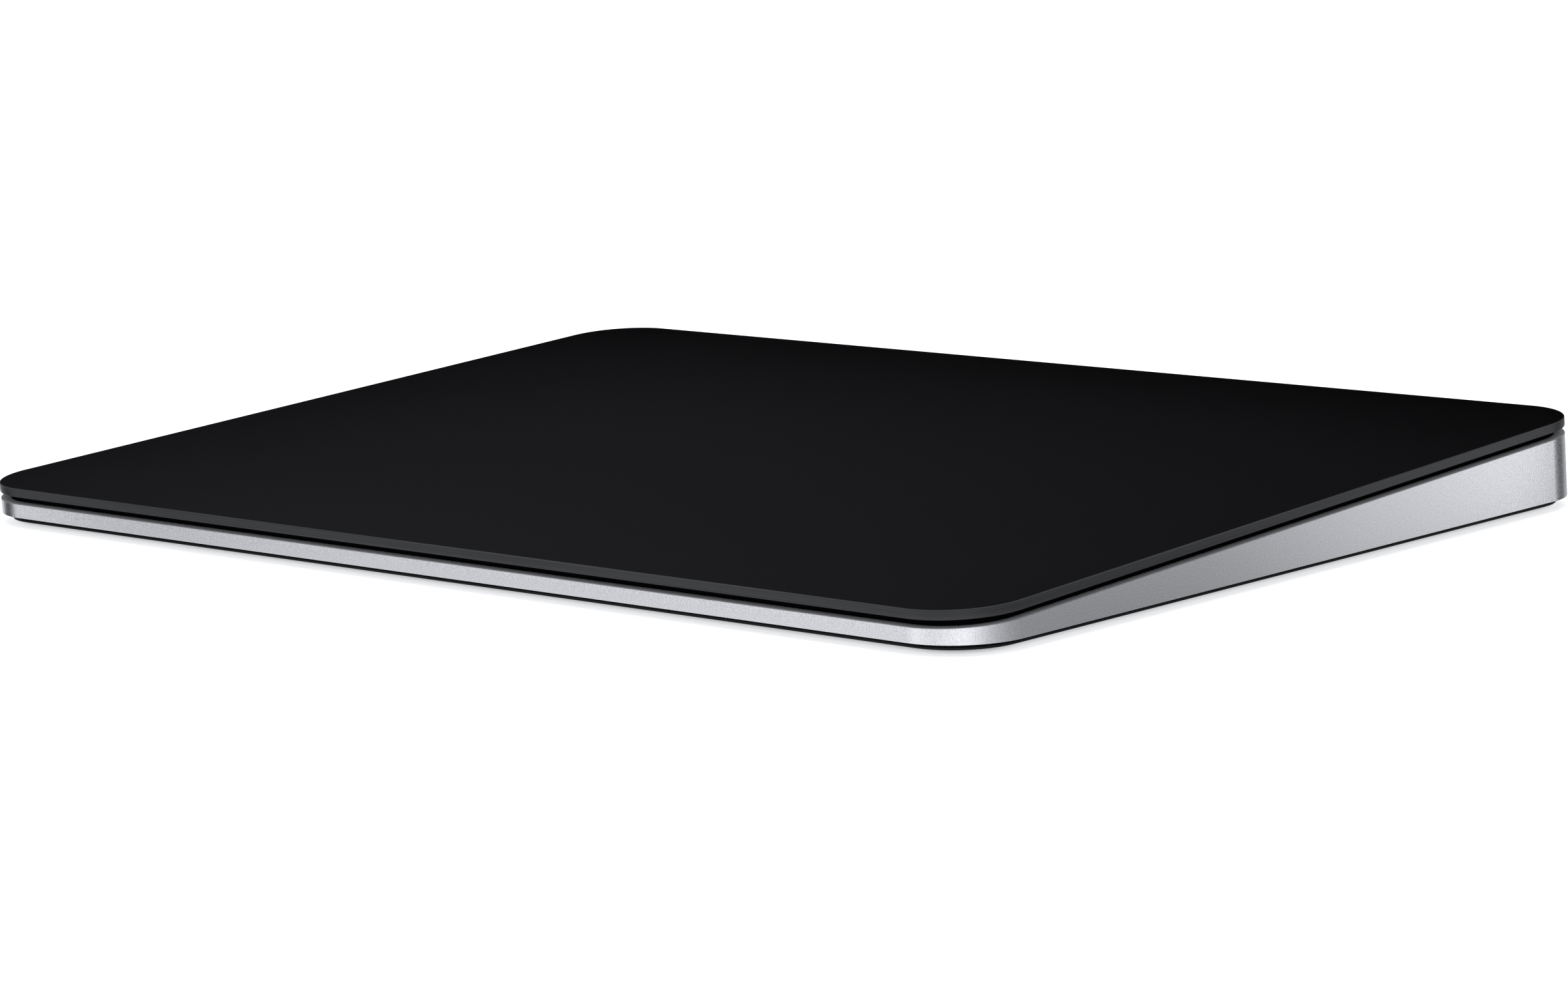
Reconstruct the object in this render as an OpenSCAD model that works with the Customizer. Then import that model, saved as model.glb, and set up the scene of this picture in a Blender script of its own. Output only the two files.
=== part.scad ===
// Wedge shaped desk trackpad: a black glass plate floats above an aluminium tray on four sprung seats,
// a magnetic drive shakes it sideways, and a battery, a logic board, a charge port and a power switch
// sit in the tray. Millimetres, +Z up, +Y to the back, origin on the desk below the middle of the pad.

/* [Overall] */
// Width of the glass and the tray, side to side
pad_w = 160; // [150:1:200]
// Depth of the glass, measured up its slope
pad_d = 114.5; // [112:0.5:150]
// Height of the front top edge above the desk
front_h = 4.9; // [4.8:0.1:8]
// Height of the back top edge above the desk
back_h = 10.9; // [10:0.1:16]
// Radius of the four corners, seen from above
corner_r = 8.5; // [6:0.5:14]

/* [Touch plate] */
// Thickness of the glass
glass_t = 1.1; // [0.9:0.05:1.2]
// Bevel ground along both edges of the glass
glass_bevel = 0.1; // [0.05:0.05:0.3]
// Thickness of the film that bonds the glass to the sensor board
film_t = 0.1; // [0.05:0.05:0.2]
// Thickness of the sensor board
board_t = 0.8; // [0.6:0.1:1]
// Running gap between the sensor board's edge and the tray wall
board_gap = 0.3; // [0.25:0.05:0.6]
// Thickness of the steel stiffener under the sensor board
stiffener_t = 0.4; // [0.3:0.05:0.6]
// How far the stiffener's edge sits behind the sensor board's edge
stiffener_setback = 1.5; // [0.5:0.5:4]
// Room left round whatever reaches into a stiffener window
window_gap = 1.2; // [0.8:0.1:2]

/* [Travel] */
// How far the plate goes down under a finger
press_travel = 0.2; // [0.1:0.05:0.3]
// How far the drive shifts the plate to each side
shift_travel = 0.1; // [0.05:0.05:0.2]
// How far the power switch slides
switch_travel = 2.4; // [1.5:0.1:3.5]
// Clearance kept at the end of a travel
run_gap = 0.25; // [0.15:0.05:0.4]

/* [Tray] */
// Open gap between the glass and the tray's rim
rim_gap = 0.85; // [0.6:0.05:1.2]
// Thickness of the tray wall
wall_t = 1.3; // [1:0.1:1.6]
// Thickness of the tray floor
floor_t = 0.6; // [0.5:0.05:0.8]

/* [Base] */
// Thickness of the sheet that bonds the base cover
bond_t = 0.15; // [0.1:0.05:0.3]
// How far the bond sheet sits inside the tray's outline
bond_inset = 2.2; // [1.8:0.1:4]
// Thickness of the base cover
cover_t = 0.6; // [0.5:0.05:0.8]
// How far the base cover sits inside the tray's outline
cover_inset = 1.3; // [0.8:0.1:1.8]
// Diameter of a foot
foot_d = 10; // [6:0.5:14]
// How far a foot stands below the base cover
foot_proud = 0.48; // [0.3:0.02:0.8]
// Depth of the socket that holds a foot
foot_socket = 0.25; // [0.15:0.05:0.4]
// Clearance round a foot in its socket
foot_gap = 0.1; // [0.05:0.05:0.3]
// Bevel round the lower edge of a foot
foot_bevel = 0.15; // [0.05:0.05:0.25]
// Distance from the tray's side to the middle of a foot
foot_side = 14; // [11:0.5:24]
// Distance from the tray's front and back to the middle of a foot
foot_end = 14; // [11:0.5:24]

/* [Spring arms] */
// Length of an arm, from its screw to its seat
arm_l = 24; // [18:0.5:30]
// Width of an arm
arm_w = 8; // [6:0.5:10]
// Thickness of an arm
arm_t = 0.4; // [0.3:0.05:0.5]
// Distance from the tray's side to an arm's screw
arm_side = 10; // [8:0.5:14]
// Distance from the front edge to the front arms
arm_front = 20; // [19:0.5:30]
// Distance from the back edge to the rear arms
arm_back = 10; // [8:0.5:11]
// Width of an arm at its neck
neck_w = 5; // [3:0.5:6]
// Length of an arm's neck
neck_l = 6; // [4:0.5:8]
// Distance from an arm's screw to the middle of its neck
neck_at = 9; // [8:0.5:11]
// Length of a strain gauge
gauge_l = 4; // [2:0.5:6]
// Width of a strain gauge
gauge_w = 2.6; // [1.5:0.1:3]
// Thickness of a strain gauge
gauge_t = 0.1; // [0.05:0.05:0.15]
// Diameter of the boss under an arm's screw
boss_d = 5; // [4:0.5:5.5]
// Diameter of a load seat at an arm's free end
seat_d = 7; // [5:0.5:8]
// Thickness of a load seat
seat_t = 0.3; // [0.2:0.05:0.4]
// Diameter of the rivet under a load seat
rivet_d = 2; // [1.4:0.1:3]
// Diameter of a gel pad
gel_d = 6; // [4:0.5:8]
// Thickness of a gel pad
gel_t = 0.4; // [0.3:0.05:0.5]

/* [Screws] */
// Diameter of every screw
screw_d = 1.4; // [1.2:0.1:1.6]
// Diameter of a screw head
head_d = 2.6; // [2.2:0.1:3]
// Height of a screw head
head_h = 0.5; // [0.4:0.05:0.6]
// Length of an arm screw under its head
arm_screw_l = 1.2; // [1:0.05:1.3]
// Length of a board or bracket screw under its head
board_screw_l = 1.5; // [1.2:0.1:1.6]
// Clearance round a screw or rivet in its hole
thread_gap = 0.05; // [0.03:0.01:0.1]
// Diameter of the small bosses on the tray floor
pad_d_floor = 4; // [3.4:0.1:4.4]
// Height of the small bosses under the drive, the port and the switch
pad_h_floor = 0.6; // [0.5:0.05:0.8]

/* [Haptic drive] */
// Gap between the drive and the ribbon lane behind it
haptic_gap = 3.6; // [1:0.1:8]
// Length of the core, along the shift
haptic_l = 26; // [20:0.5:32]
// Depth of the bracket plate
haptic_w = 18; // [17.6:0.2:19]
// Thickness of the bracket plate
bracket_t = 0.5; // [0.4:0.05:0.6]
// Length of the bracket's screw ears
ear_l = 6; // [5:0.5:8]
// Thickness of the iron core
core_t = 1.2; // [0.8:0.1:1.3]
// Width of the bar that joins the core's legs
core_bar = 5; // [3:0.5:6]
// Width of a core leg
leg_w = 3; // [2:0.1:3.2]
// Spacing of the core legs
leg_pitch = 6; // [5.8:0.1:6.2]
// Length of a coil
coil_l = 15; // [10:0.5:16]
// Winding thickness of a coil at the leg's sides
coil_w = 1.2; // [0.8:0.1:1.3]
// Winding thickness of a coil above and below the leg
coil_h = 0.35; // [0.25:0.05:0.4]
// Air gap between the core legs and the armature
pole_gap = 0.4; // [0.35:0.05:0.6]
// Thickness of the armature's flange
flange_t = 0.8; // [0.5:0.1:1.2]
// Length of the armature's leaf under the sensor board
leaf_l = 8; // [5:0.5:10]
// Depth of the armature, front to back
armature_w = 16; // [12:0.5:17]

/* [Touch electronics] */
// Distance from the middle of the pad to the touch chips, to the left
chip_left = 40; // [34:0.5:46]
// Side of the touch controller chip
touch_chip = 8; // [5:0.5:10]
// Side of the force amplifier chip
force_chip = 5; // [3:0.5:6]
// Thickness of the chips
chip_t = 0.9; // [0.6:0.05:1.1]
// Space between neighbouring chips
chip_space = 2; // [1:0.5:4]
// Width of the ribbon sockets
socket_w = 12; // [8:0.5:14]
// Depth of the ribbon sockets
socket_d = 3; // [2:0.1:4]
// Height of the ribbon sockets
socket_h = 0.9; // [0.7:0.05:1.1]
// Run of the touch ribbon in front of the logic board
touch_run = 12; // [8:0.5:14]

/* [Battery] */
// Length of the cell
battery_l = 84; // [60:1:86]
// Depth of the cell
battery_d = 26; // [18:0.5:27]
// Thickness of the cell
battery_t = 3.8; // [3:0.1:3.9]
// Gap between the cell and the tray's side wall
battery_side = 4; // [3:0.5:6]
// Distance from the tray's back to the cell
battery_back = 15; // [14.5:0.5:17]
// Thickness of the tape under the cell
tape_t = 0.1; // [0.05:0.05:0.2]
// Width of a tape strip
tape_w = 14; // [8:1:20]
// Distance of each tape strip from the end of the cell
tape_end = 8; // [4:1:14]
// Thickness of the guard board on the cell's end
guard_t = 1; // [0.6:0.1:1.4]
// Width of the guard board
guard_w = 20; // [12:0.5:24]
// Height of the guard board
guard_h = 3; // [2.6:0.1:3.2]
// Diameter of a battery wire
wire_d = 0.9; // [0.6:0.1:1.1]
// Spacing of the battery wires
wire_pitch = 1.5; // [1.2:0.1:2]
// Length of the battery plug
plug_l = 4; // [3:0.5:6]
// Width of the battery plug
plug_w = 6; // [5.5:0.5:8]
// Height of the battery plug
plug_h = 1.3; // [1.2:0.1:1.6]

/* [Logic board] */
// Length of the logic board
logic_l = 44; // [42:0.5:48]
// Depth of the logic board
logic_d = 29; // [28:0.5:31]
// Thickness of the circuit boards in the tray
pcb_t = 0.8; // [0.6:0.05:1]
// Gap between the logic board and the tray's side wall
logic_side = 12; // [11.6:0.1:14]
// Distance from the tray's back to the logic board
logic_back = 12; // [11.5:0.5:14]
// Height of the logic board above the tray floor
logic_lift = 1.2; // [1:0.05:1.4]
// Distance of a board screw from the board's edges
hole_edge = 4.5; // [4.4:0.1:5]
// Side of the main chip
main_chip = 8; // [5:0.5:9]
// Side of the charger chip
charger_chip = 5; // [3:0.5:6]
// Length of the shield can over the radio
can_l = 14; // [8:0.5:16]
// Depth of the shield can
can_d = 10; // [6:0.5:11]
// Height of the shield can
can_h = 1.4; // [1:0.1:1.6]
// Wall of the shield can
can_t = 0.2; // [0.15:0.05:0.3]

/* [Charge port] */
// Width of the receptacle's steel shell
port_w = 8.94; // [8.5:0.02:9.4]
// Height of the receptacle's steel shell
port_h = 3.26; // [3.1:0.02:3.5]
// Length of the receptacle
port_l = 7.3; // [6.5:0.1:8]
// Sheet thickness of the receptacle's shell
port_wall = 0.3; // [0.2:0.02:0.36]
// Width of the contact tongue
tongue_w = 6.69; // [6:0.01:7]
// Thickness of the contact tongue
tongue_t = 0.7; // [0.6:0.02:0.8]
// Length of the contact tongue
tongue_l = 5; // [4:0.1:5.4]
// How far the receptacle sits back from the tray's back face
port_recess = 0.35; // [0.2:0.05:0.6]
// Clearance round the receptacle in the tray wall
port_gap = 0.1; // [0.05:0.05:0.2]
// Width of the port board
port_board_w = 20; // [19:0.5:24]
// Depth of the port board
port_board_d = 10; // [9.5:0.1:10.5]
// Gap between the port board and the tray wall
port_board_gap = 0.6; // [0.3:0.1:0.8]
// Distance from the middle of the port to a port screw
port_screw_at = 7.4; // [6.8:0.1:8]

/* [Power switch] */
// Distance from the tray's side to the middle of the switch
switch_side = 42; // [36:0.5:46]
// Depth of the switch below the glass
switch_depth = 5.6; // [4.6:0.1:6.4]
// Length of the knob
knob_l = 5.5; // [4:0.1:7]
// Height of the knob
knob_h = 2.2; // [1.6:0.1:2.8]
// How far the knob stands out of the tray's back face
knob_proud = 0.2; // [0.1:0.05:0.3]
// Clearance round the knob in its slot
slot_gap = 0.15; // [0.1:0.05:0.25]
// Thickness of the plate behind the knob
apron_t = 0.6; // [0.4:0.05:0.8]
// How far that plate overlaps the slot
apron_lap = 0.8; // [0.5:0.1:1]
// Gap between that plate and the tray wall
apron_gap = 0.15; // [0.1:0.05:0.25]
// Thickness of the coloured flag beside the knob
flag_t = 0.08; // [0.04:0.02:0.08]
// Side of the stem that works the switch
stem_w = 1.2; // [0.8:0.1:1.6]
// Length of the stem
stem_l = 1.2; // [0.8:0.1:1.6]
// Length of the switch body
switch_l = 12; // [9:0.5:13]
// Depth of the switch body
switch_w = 4; // [3:0.1:4.4]
// Height of the switch body
switch_h = 3.4; // [2.8:0.1:3.6]
// Length of the holder's screw ears
holder_ear = 4.8; // [4.2:0.1:5.4]
// Thickness of the holder's ears
holder_t = 0.8; // [0.6:0.05:1]

/* [Antenna] */
// Distance from the tray's side to the antenna carrier
antenna_side = 30; // [24:0.5:34]
// Length of the antenna carrier
antenna_l = 24; // [18:0.5:26]
// Depth of the antenna carrier
antenna_d = 5; // [4:0.1:5.5]
// Height of the antenna carrier
antenna_h = 3.2; // [2.4:0.1:3.4]
// Thickness of the antenna foil
foil_t = 0.1; // [0.05:0.05:0.15]
// Width of the foil's tracks
foil_w = 0.8; // [0.5:0.1:1]
// Rim of the carrier left bare round the foil and the floor slot
antenna_rim = 0.8; // [0.5:0.1:1]
// Diameter of the antenna coax
coax_d = 0.8; // [0.6:0.1:1]
// Gap between the coax and the battery
coax_gap = 1; // [0.6:0.1:1.2]

/* [Ribbons] */
// Thickness of the ribbon circuits
ribbon_t = 0.12; // [0.08:0.02:0.2]
// Width of the ribbon circuits on the tray floor
ribbon_w = 2.4; // [1.6:0.1:2.6]
// Gap between a ribbon and what it runs beside
ribbon_gap = 0.6; // [0.3:0.1:0.8]

/* [Hidden] */
$fn = 96;

SIDES = [-1, 1];
// Longer than any piece, for cutting
reach = pad_w + pad_d;
// A cut runs this far past the face that it opens
over = 0.5;

// Slope of the glass, and the middle of its top face
tilt = asin((back_h - front_h) / pad_d);
shell_z = foot_proud + cover_t + bond_t;
floor_z = shell_z + floor_t;
slope_z = (front_h + back_h) / 2;
slope_y = -(pad_d / 2 * (1 / cos(tilt) - cos(tilt)) + (slope_z - shell_z) * tan(tilt)) / 2;

// Depths below the glass of each layer's top face
rim_depth = glass_t + rim_gap;
board_depth = glass_t + film_t;
stiffener_depth = board_depth + board_t;
gel_depth = stiffener_depth + stiffener_t;
seat_depth = gel_depth + gel_t;
arm_depth = seat_depth + seat_t;
arm_low = arm_depth + arm_t;

// How far each layer's edge sits inside the glass outline
board_inset = wall_t + board_gap;
stiffener_inset = board_inset + stiffener_setback;

// Y of the tray's back plane, set in by e, at height z; and of a point at v up the slope and depth d
function rear_y(e, z) = slope_y + (pad_d / 2 - e) / cos(tilt) + (slope_z - z) * tan(tilt);
function slope_to_y(v, d) = slope_y + v * cos(tilt) + d * sin(tilt);
function slope_to_z(v, d) = slope_z + v * sin(tilt) - d * cos(tilt);
// The same, the other way: distance up the slope of a point at y and z
function up_slope(y, z) = (y - slope_y) * cos(tilt) + (z - slope_z) * sin(tilt);

// The tray's back and the base's middle, along Y
back_y = rear_y(0, floor_z);
base_y = slope_y + (slope_z - shell_z) * tan(tilt);

// Spring arms
arm_x = pad_w / 2 - arm_side;
ARM_ROWS = [-pad_d / 2 + arm_front, pad_d / 2 - arm_back];
hole_d = screw_d + 2 * thread_gap;

// Logic board
logic_x1 = pad_w / 2 - wall_t - logic_side;
logic_x0 = logic_x1 - logic_l;
logic_y1 = back_y - logic_back;
logic_y0 = logic_y1 - logic_d;
logic_z = floor_z + logic_lift;
logic_top = logic_z + pcb_t;
LOGIC_HOLES = [
    for (x = [logic_x0 + hole_edge, logic_x1 - hole_edge])
        for (y = [logic_y0 + hole_edge, logic_y1 - hole_edge]) [x, y]
];
socket_x = (logic_x0 + logic_x1) / 2 + socket_w / 2;
touch_v = up_slope(logic_y0 - touch_run, logic_top);

// Battery
battery_x0 = -pad_w / 2 + wall_t + battery_side;
battery_x1 = battery_x0 + battery_l;
battery_y1 = back_y - battery_back;
battery_y0 = battery_y1 - battery_d;
battery_mid = (battery_y0 + battery_y1) / 2;
battery_z = floor_z + tape_t;
guard_x1 = battery_x1 + guard_t;
plug_x = logic_x0 + chip_space;

// Charge port
port_board_z = floor_z + pad_h_floor;
port_z = port_board_z + pcb_t + port_h / 2;
port_y = rear_y(0, port_z) - port_recess;
port_board_y = rear_y(wall_t, port_board_z) - port_board_gap - port_board_d;
PORT_HOLES = [for (s = SIDES) [s * port_screw_at, port_board_y + port_board_d - hole_edge + screw_d]];

// Power switch, placed on the inner face of the leaning back wall
switch_x = pad_w / 2 - switch_side;
slot_l = knob_l + switch_travel + 2 * slot_gap;
slot_h = knob_h + 2 * slot_gap;
apron_l = slot_l + switch_travel + 2 * apron_lap;
apron_h = slot_h + 2 * apron_lap;
switch_back = apron_gap + apron_t + run_gap;
holder_v = pad_d / 2 - wall_t - switch_back - switch_w / 2;
holder_y = slope_to_y(holder_v, switch_depth + switch_h);
HOLDER_HOLES = [for (s = SIDES) [switch_x + s * (switch_l + holder_ear) / 2, holder_y]];

// Antenna
antenna_x = -pad_w / 2 + antenna_side;
antenna_y = rear_y(wall_t, floor_z + antenna_h) - ribbon_gap - antenna_d;
coax_y = battery_y1 + coax_gap + coax_d / 2;
coax_x0 = antenna_x + antenna_l / 2;
coax_x1 = logic_x0 + hole_edge / 2;

// Ribbons on the tray floor
lane_x = pad_w / 2 - wall_t - ribbon_gap - ribbon_w;
lane_front = slope_to_y(ARM_ROWS[0], arm_low);
lane_back = slope_to_y(ARM_ROWS[1], arm_low);
cross_y = battery_y0 - ribbon_gap - ribbon_w;
rear_lane = PORT_HOLES[0][1] - pad_d_floor / 2 - ribbon_gap - ribbon_w;

// Haptic drive
haptic_y = cross_y - haptic_gap - haptic_w / 2;
haptic_z = floor_z + pad_h_floor;
core_z = haptic_z + bracket_t + coil_h;
haptic_v = up_slope(haptic_y, core_z);
HAPTIC_HOLES = [for (s = SIDES) [s * (haptic_l + ear_l) / 2, haptic_y]];
armature_x = haptic_l / 2 + pole_gap;
flange_front = haptic_v - armature_w / 2;
flange_z = haptic_z + bracket_t + press_travel + run_gap;
flange_low = (slope_z + flange_front * sin(tilt) - flange_z) / cos(tilt);

// Puts its children in the frame of the glass: top face at z = 0, y up the slope
module on_slope() {
    translate([0, slope_y, slope_z]) rotate([tilt, 0, 0]) children();
}

module at_depth(d) {
    on_slope() translate([0, 0, -d]) children();
}

// Everything above a level
module above(z) {
    translate([-reach / 2, -reach / 2, z]) cube(reach);
}

module round_outline(w, d, r) {
    square([w - 2 * r, d], center = true);
    square([w, d - 2 * r], center = true);
    for (x = SIDES, y = SIDES) translate([x * (w / 2 - r), y * (d / 2 - r)]) circle(r);
}

module slot_outline(l, h) {
    square([l - h, h], center = true);
    for (s = SIDES) translate([s * (l - h) / 2, 0]) circle(d = h);
}

// A layer parallel to the glass, set in from its outline
module layer(inset, depth, t) {
    at_depth(depth + t)
        linear_extrude(t) round_outline(pad_w - 2 * inset, pad_d - 2 * inset, corner_r - inset);
}

// The pad's own wedge: walls square to the glass, cut level below, up to a depth under the glass
module wedge(inset, low, depth) {
    intersection() {
        at_depth(reach)
            linear_extrude(reach - depth)
                round_outline(pad_w - 2 * inset, pad_d - 2 * inset, corner_r - inset);
        above(low);
    }
}

// Section across a plate with both long edges bevelled, top face at y = 0
module bevel_section(span, t, b) {
    polygon([
        [-span / 2 + b, 0], [span / 2 - b, 0], [span / 2, -b], [span / 2, b - t],
        [span / 2 - b, -t], [b - span / 2, -t], [-span / 2, b - t], [-span / 2, -b]
    ]);
}

module bevelled_plate(w, d, r, t, b) {
    translate([r - w / 2, 0, 0])
        rotate([90, 0, 90])
            linear_extrude(w - 2 * r) bevel_section(d, t, b);
    translate([0, d / 2 - r, 0])
        rotate([90, 0, 0])
            linear_extrude(d - 2 * r) bevel_section(w, t, b);
    for (x = SIDES, y = SIDES)
        translate([x * (w / 2 - r), y * (d / 2 - r), 0])
            rotate_extrude() polygon([[0, 0], [r - b, 0], [r, -b], [r, b - t], [r - b, -t], [0, -t]]);
}

// Pan head screw whose head rests at z = 0
module screw(l) {
    translate([0, 0, -l]) cylinder(h = l, d = screw_d);
    cylinder(h = head_h, d = head_d);
}

// Screws and their bosses, on a list of places on the tray floor
module screws_at(holes, z) {
    for (p = holes) translate([p[0], p[1], z]) screw(board_screw_l);
}

module bosses_at(holes, h) {
    for (p = holes) translate([p[0], p[1], shell_z]) cylinder(h = floor_t + h, d = pad_d_floor);
}

module pilots_at(holes, z) {
    for (p = holes) translate([p[0], p[1], z - board_screw_l]) cylinder(h = board_screw_l + over, d = hole_d);
}

module clear_holes(holes) {
    for (p = holes) translate(p) circle(d = hole_d);
}

// Places its children at the screw of each spring arm, mirrored so that each arm runs inward along -x
module at_arms(depth) {
    for (s = [0, 1], y = ARM_ROWS)
        at_depth(depth) mirror([s, 0, 0]) translate([arm_x, y, 0]) children();
}

// A strip of ribbon lying on the tray floor between two corners
module strip(x0, y0, x1, y1) {
    translate([min(x0, x1), min(y0, y1), floor_z]) cube([abs(x1 - x0), abs(y1 - y0), ribbon_t]);
}

// The inner face of the back wall, at the middle of the power switch: +y points out
module at_switch() {
    on_slope() translate([switch_x, pad_d / 2 - wall_t, -switch_depth]) children();
}

// A solid along +y from y0 to y1
module along_y(y0, y1) {
    translate([0, y1, 0]) rotate([90, 0, 0]) linear_extrude(y1 - y0) children();
}

// The touch plate: what the finger presses, and what the drive shifts
module touch_glass() {
    color("#1c1d20") on_slope() bevelled_plate(pad_w, pad_d, corner_r, glass_t, glass_bevel);
}

module glass_film() {
    color("#0c0c0e") layer(board_inset, glass_t, film_t);
}

module sensor_board() {
    color("#101113") layer(board_inset, board_depth, board_t);
}

module touch_chips() {
    color("#26272a") at_depth(stiffener_depth + chip_t) {
        translate([-chip_left - touch_chip / 2, haptic_v - touch_chip / 2, 0])
            cube([touch_chip, touch_chip, chip_t]);
        translate([-chip_left + touch_chip / 2 + chip_space, haptic_v - force_chip / 2, 0])
            cube([force_chip, force_chip, chip_t]);
    }
}

module touch_socket() {
    color("#d8d4c4")
        at_depth(stiffener_depth + socket_h)
            translate([socket_x - socket_w / 2, touch_v - socket_d, 0]) cube([socket_w, socket_d, socket_h]);
}

module window(x0, x1, v, d) {
    gap = window_gap + shift_travel;
    translate([x0 - gap, v - d / 2 - gap]) square([x1 - x0 + 2 * gap, d + 2 * gap]);
}

module stiffener() {
    color("#a9abae") at_depth(gel_depth) linear_extrude(stiffener_t) difference() {
        round_outline(pad_w - 2 * stiffener_inset, pad_d - 2 * stiffener_inset, corner_r - stiffener_inset);
        window(-(haptic_l / 2 + ear_l), armature_x + leaf_l, haptic_v, haptic_w);
        window(
            -chip_left - touch_chip / 2, -chip_left + touch_chip / 2 + chip_space + force_chip,
            haptic_v, touch_chip
        );
        window(socket_x - socket_w / 2, socket_x + socket_w / 2, touch_v - socket_d / 2, socket_d);
        for (s = SIDES, y = ARM_ROWS)
            translate([s * arm_x, y]) circle(d = head_d + 2 * (window_gap + shift_travel));
    }
}

module gel_pads() {
    color("#9fb3bd")
        at_arms(seat_depth) translate([-arm_l, 0, 0]) cylinder(h = gel_t, d = gel_d);
}

module armature() {
    color("#8c8f94") on_slope() {
        translate([armature_x, flange_front, -stiffener_depth - stiffener_t])
            cube([leaf_l, armature_w, stiffener_t]);
        translate([armature_x, flange_front, -flange_low])
            cube([flange_t, armature_w, flange_low - stiffener_depth]);
    }
}

// What the plate is seated on: discs riveted to the free ends of the spring arms
module load_seats() {
    color("#b9bbbe") {
        at_arms(arm_depth) translate([-arm_l, 0, 0]) cylinder(h = seat_t, d = seat_d);
        at_arms(arm_low) translate([-arm_l, 0, 0]) cylinder(h = arm_t + seat_t / 2, d = rivet_d);
    }
}

// The tray, its bosses and the cuts in its walls
module shell() {
    color("#c9cacd") difference() {
        union() {
            difference() {
                wedge(0, shell_z, rim_depth);
                wedge(wall_t, floor_z, rim_depth - over);
            }
            intersection() {
                at_arms(reach) cylinder(h = reach - arm_low, d = boss_d);
                wedge(wall_t / 2, shell_z, rim_depth);
            }
            bosses_at(concat(HAPTIC_HOLES, PORT_HOLES, HOLDER_HOLES), pad_h_floor);
            bosses_at(LOGIC_HOLES, logic_lift);
        }
        at_arms(arm_depth + arm_screw_l) cylinder(h = arm_screw_l, d = hole_d);
        pilots_at(HAPTIC_HOLES, haptic_z + bracket_t);
        pilots_at(PORT_HOLES, port_board_z + pcb_t);
        pilots_at(HOLDER_HOLES, floor_z + pad_h_floor + holder_t);
        pilots_at(LOGIC_HOLES, logic_top);
        translate([0, 0, port_z])
            along_y(rear_y(wall_t, port_z) - over, back_y + over)
                slot_outline(port_w + 2 * port_gap, port_h + 2 * port_gap);
        at_switch() along_y(-over, wall_t + over) slot_outline(slot_l, slot_h);
        translate([antenna_x + antenna_rim, antenna_y + antenna_rim, shell_z - over])
            cube([antenna_l - 2 * antenna_rim, antenna_d - 2 * antenna_rim, floor_t + 2 * over]);
    }
}

// A level sheet under the tray, set in from its outline
module base_sheet(inset, z, t) {
    translate([0, base_y, z])
        linear_extrude(t)
            round_outline(pad_w - 2 * inset, pad_d / cos(tilt) - 2 * inset, corner_r - inset);
}

module at_feet(z) {
    for (x = SIDES, y = SIDES)
        translate([x * (pad_w / 2 - foot_side), base_y + y * (pad_d / 2 - foot_end), z]) children();
}

module base_bond() {
    color("#0a0a0b") base_sheet(bond_inset, shell_z - bond_t, bond_t);
}

module base_cover() {
    color("#161718") difference() {
        base_sheet(cover_inset, foot_proud, cover_t);
        at_feet(foot_proud - over) cylinder(h = foot_socket + over, d = foot_d + 2 * foot_gap);
    }
}

module feet() {
    color("#222325") at_feet(0) rotate_extrude() polygon([
        [0, 0], [foot_d / 2 - foot_bevel, 0], [foot_d / 2, foot_bevel],
        [foot_d / 2, foot_proud + foot_socket], [0, foot_proud + foot_socket]
    ]);
}

// The four sprung arms, with the gauges that weigh the press
module spring_arms() {
    color("#c2c4c7") at_arms(arm_low) linear_extrude(arm_t) difference() {
        union() {
            translate([-arm_l, -arm_w / 2]) square([arm_l, arm_w]);
            for (x = [0, -arm_l]) translate([x, 0]) circle(d = arm_w);
        }
        for (s = SIDES)
            translate([-neck_at, s * (neck_w + arm_w) / 2]) square([neck_l, arm_w], center = true);
        circle(d = hole_d);
        translate([-arm_l, 0]) circle(d = rivet_d + 2 * thread_gap);
    }
}

module strain_gauges() {
    color("#c98a3a")
        at_arms(arm_depth) translate([-neck_at - gauge_l / 2, -gauge_w / 2, 0]) cube([gauge_l, gauge_w, gauge_t]);
}

module arm_screws() {
    color("#6d6f73") at_arms(arm_depth) screw(arm_screw_l);
}

module gauge_ribbons() {
    tab_x = arm_x + boss_d / 2 + ribbon_gap;
    left_end = logic_x0 + hole_edge + pad_d_floor;
    right_end = logic_x1 - hole_edge - pad_d_floor;
    right_y = (logic_y0 + logic_y1) / 2;
    color("#b5742c") {
        for (s = SIDES) {
            strip(s * lane_x, lane_front - ribbon_w / 2, s * (lane_x + ribbon_w), lane_back + ribbon_w / 2);
            for (y = [lane_front, lane_back])
                strip(s * tab_x, y - ribbon_w / 2, s * (lane_x + ribbon_w), y + ribbon_w / 2);
        }
        strip(-lane_x - ribbon_w, cross_y, left_end + ribbon_w, cross_y + ribbon_w);
        strip(left_end, cross_y, left_end + ribbon_w, logic_y0 + ribbon_w);
        translate([left_end, logic_y0 + ribbon_w - ribbon_t, floor_z]) cube([ribbon_w, ribbon_t, logic_lift]);
        strip(right_end, right_y, lane_x + ribbon_w, right_y + ribbon_w);
        translate([right_end, right_y, floor_z]) cube([ribbon_t, ribbon_w, logic_lift]);
    }
}

// The drive that shakes the plate: an iron core with three coils on a bracket
module haptic_bracket() {
    color("#9a9ca0") {
        translate([0, 0, haptic_z]) linear_extrude(bracket_t) difference() {
            translate([0, haptic_y]) square([haptic_l + 2 * ear_l, haptic_w], center = true);
            clear_holes(HAPTIC_HOLES);
        }
        translate([-haptic_l / 2, haptic_y - haptic_w / 2, haptic_z + bracket_t / 2])
            cube([core_bar, haptic_w, bracket_t / 2 + coil_h]);
    }
}

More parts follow.
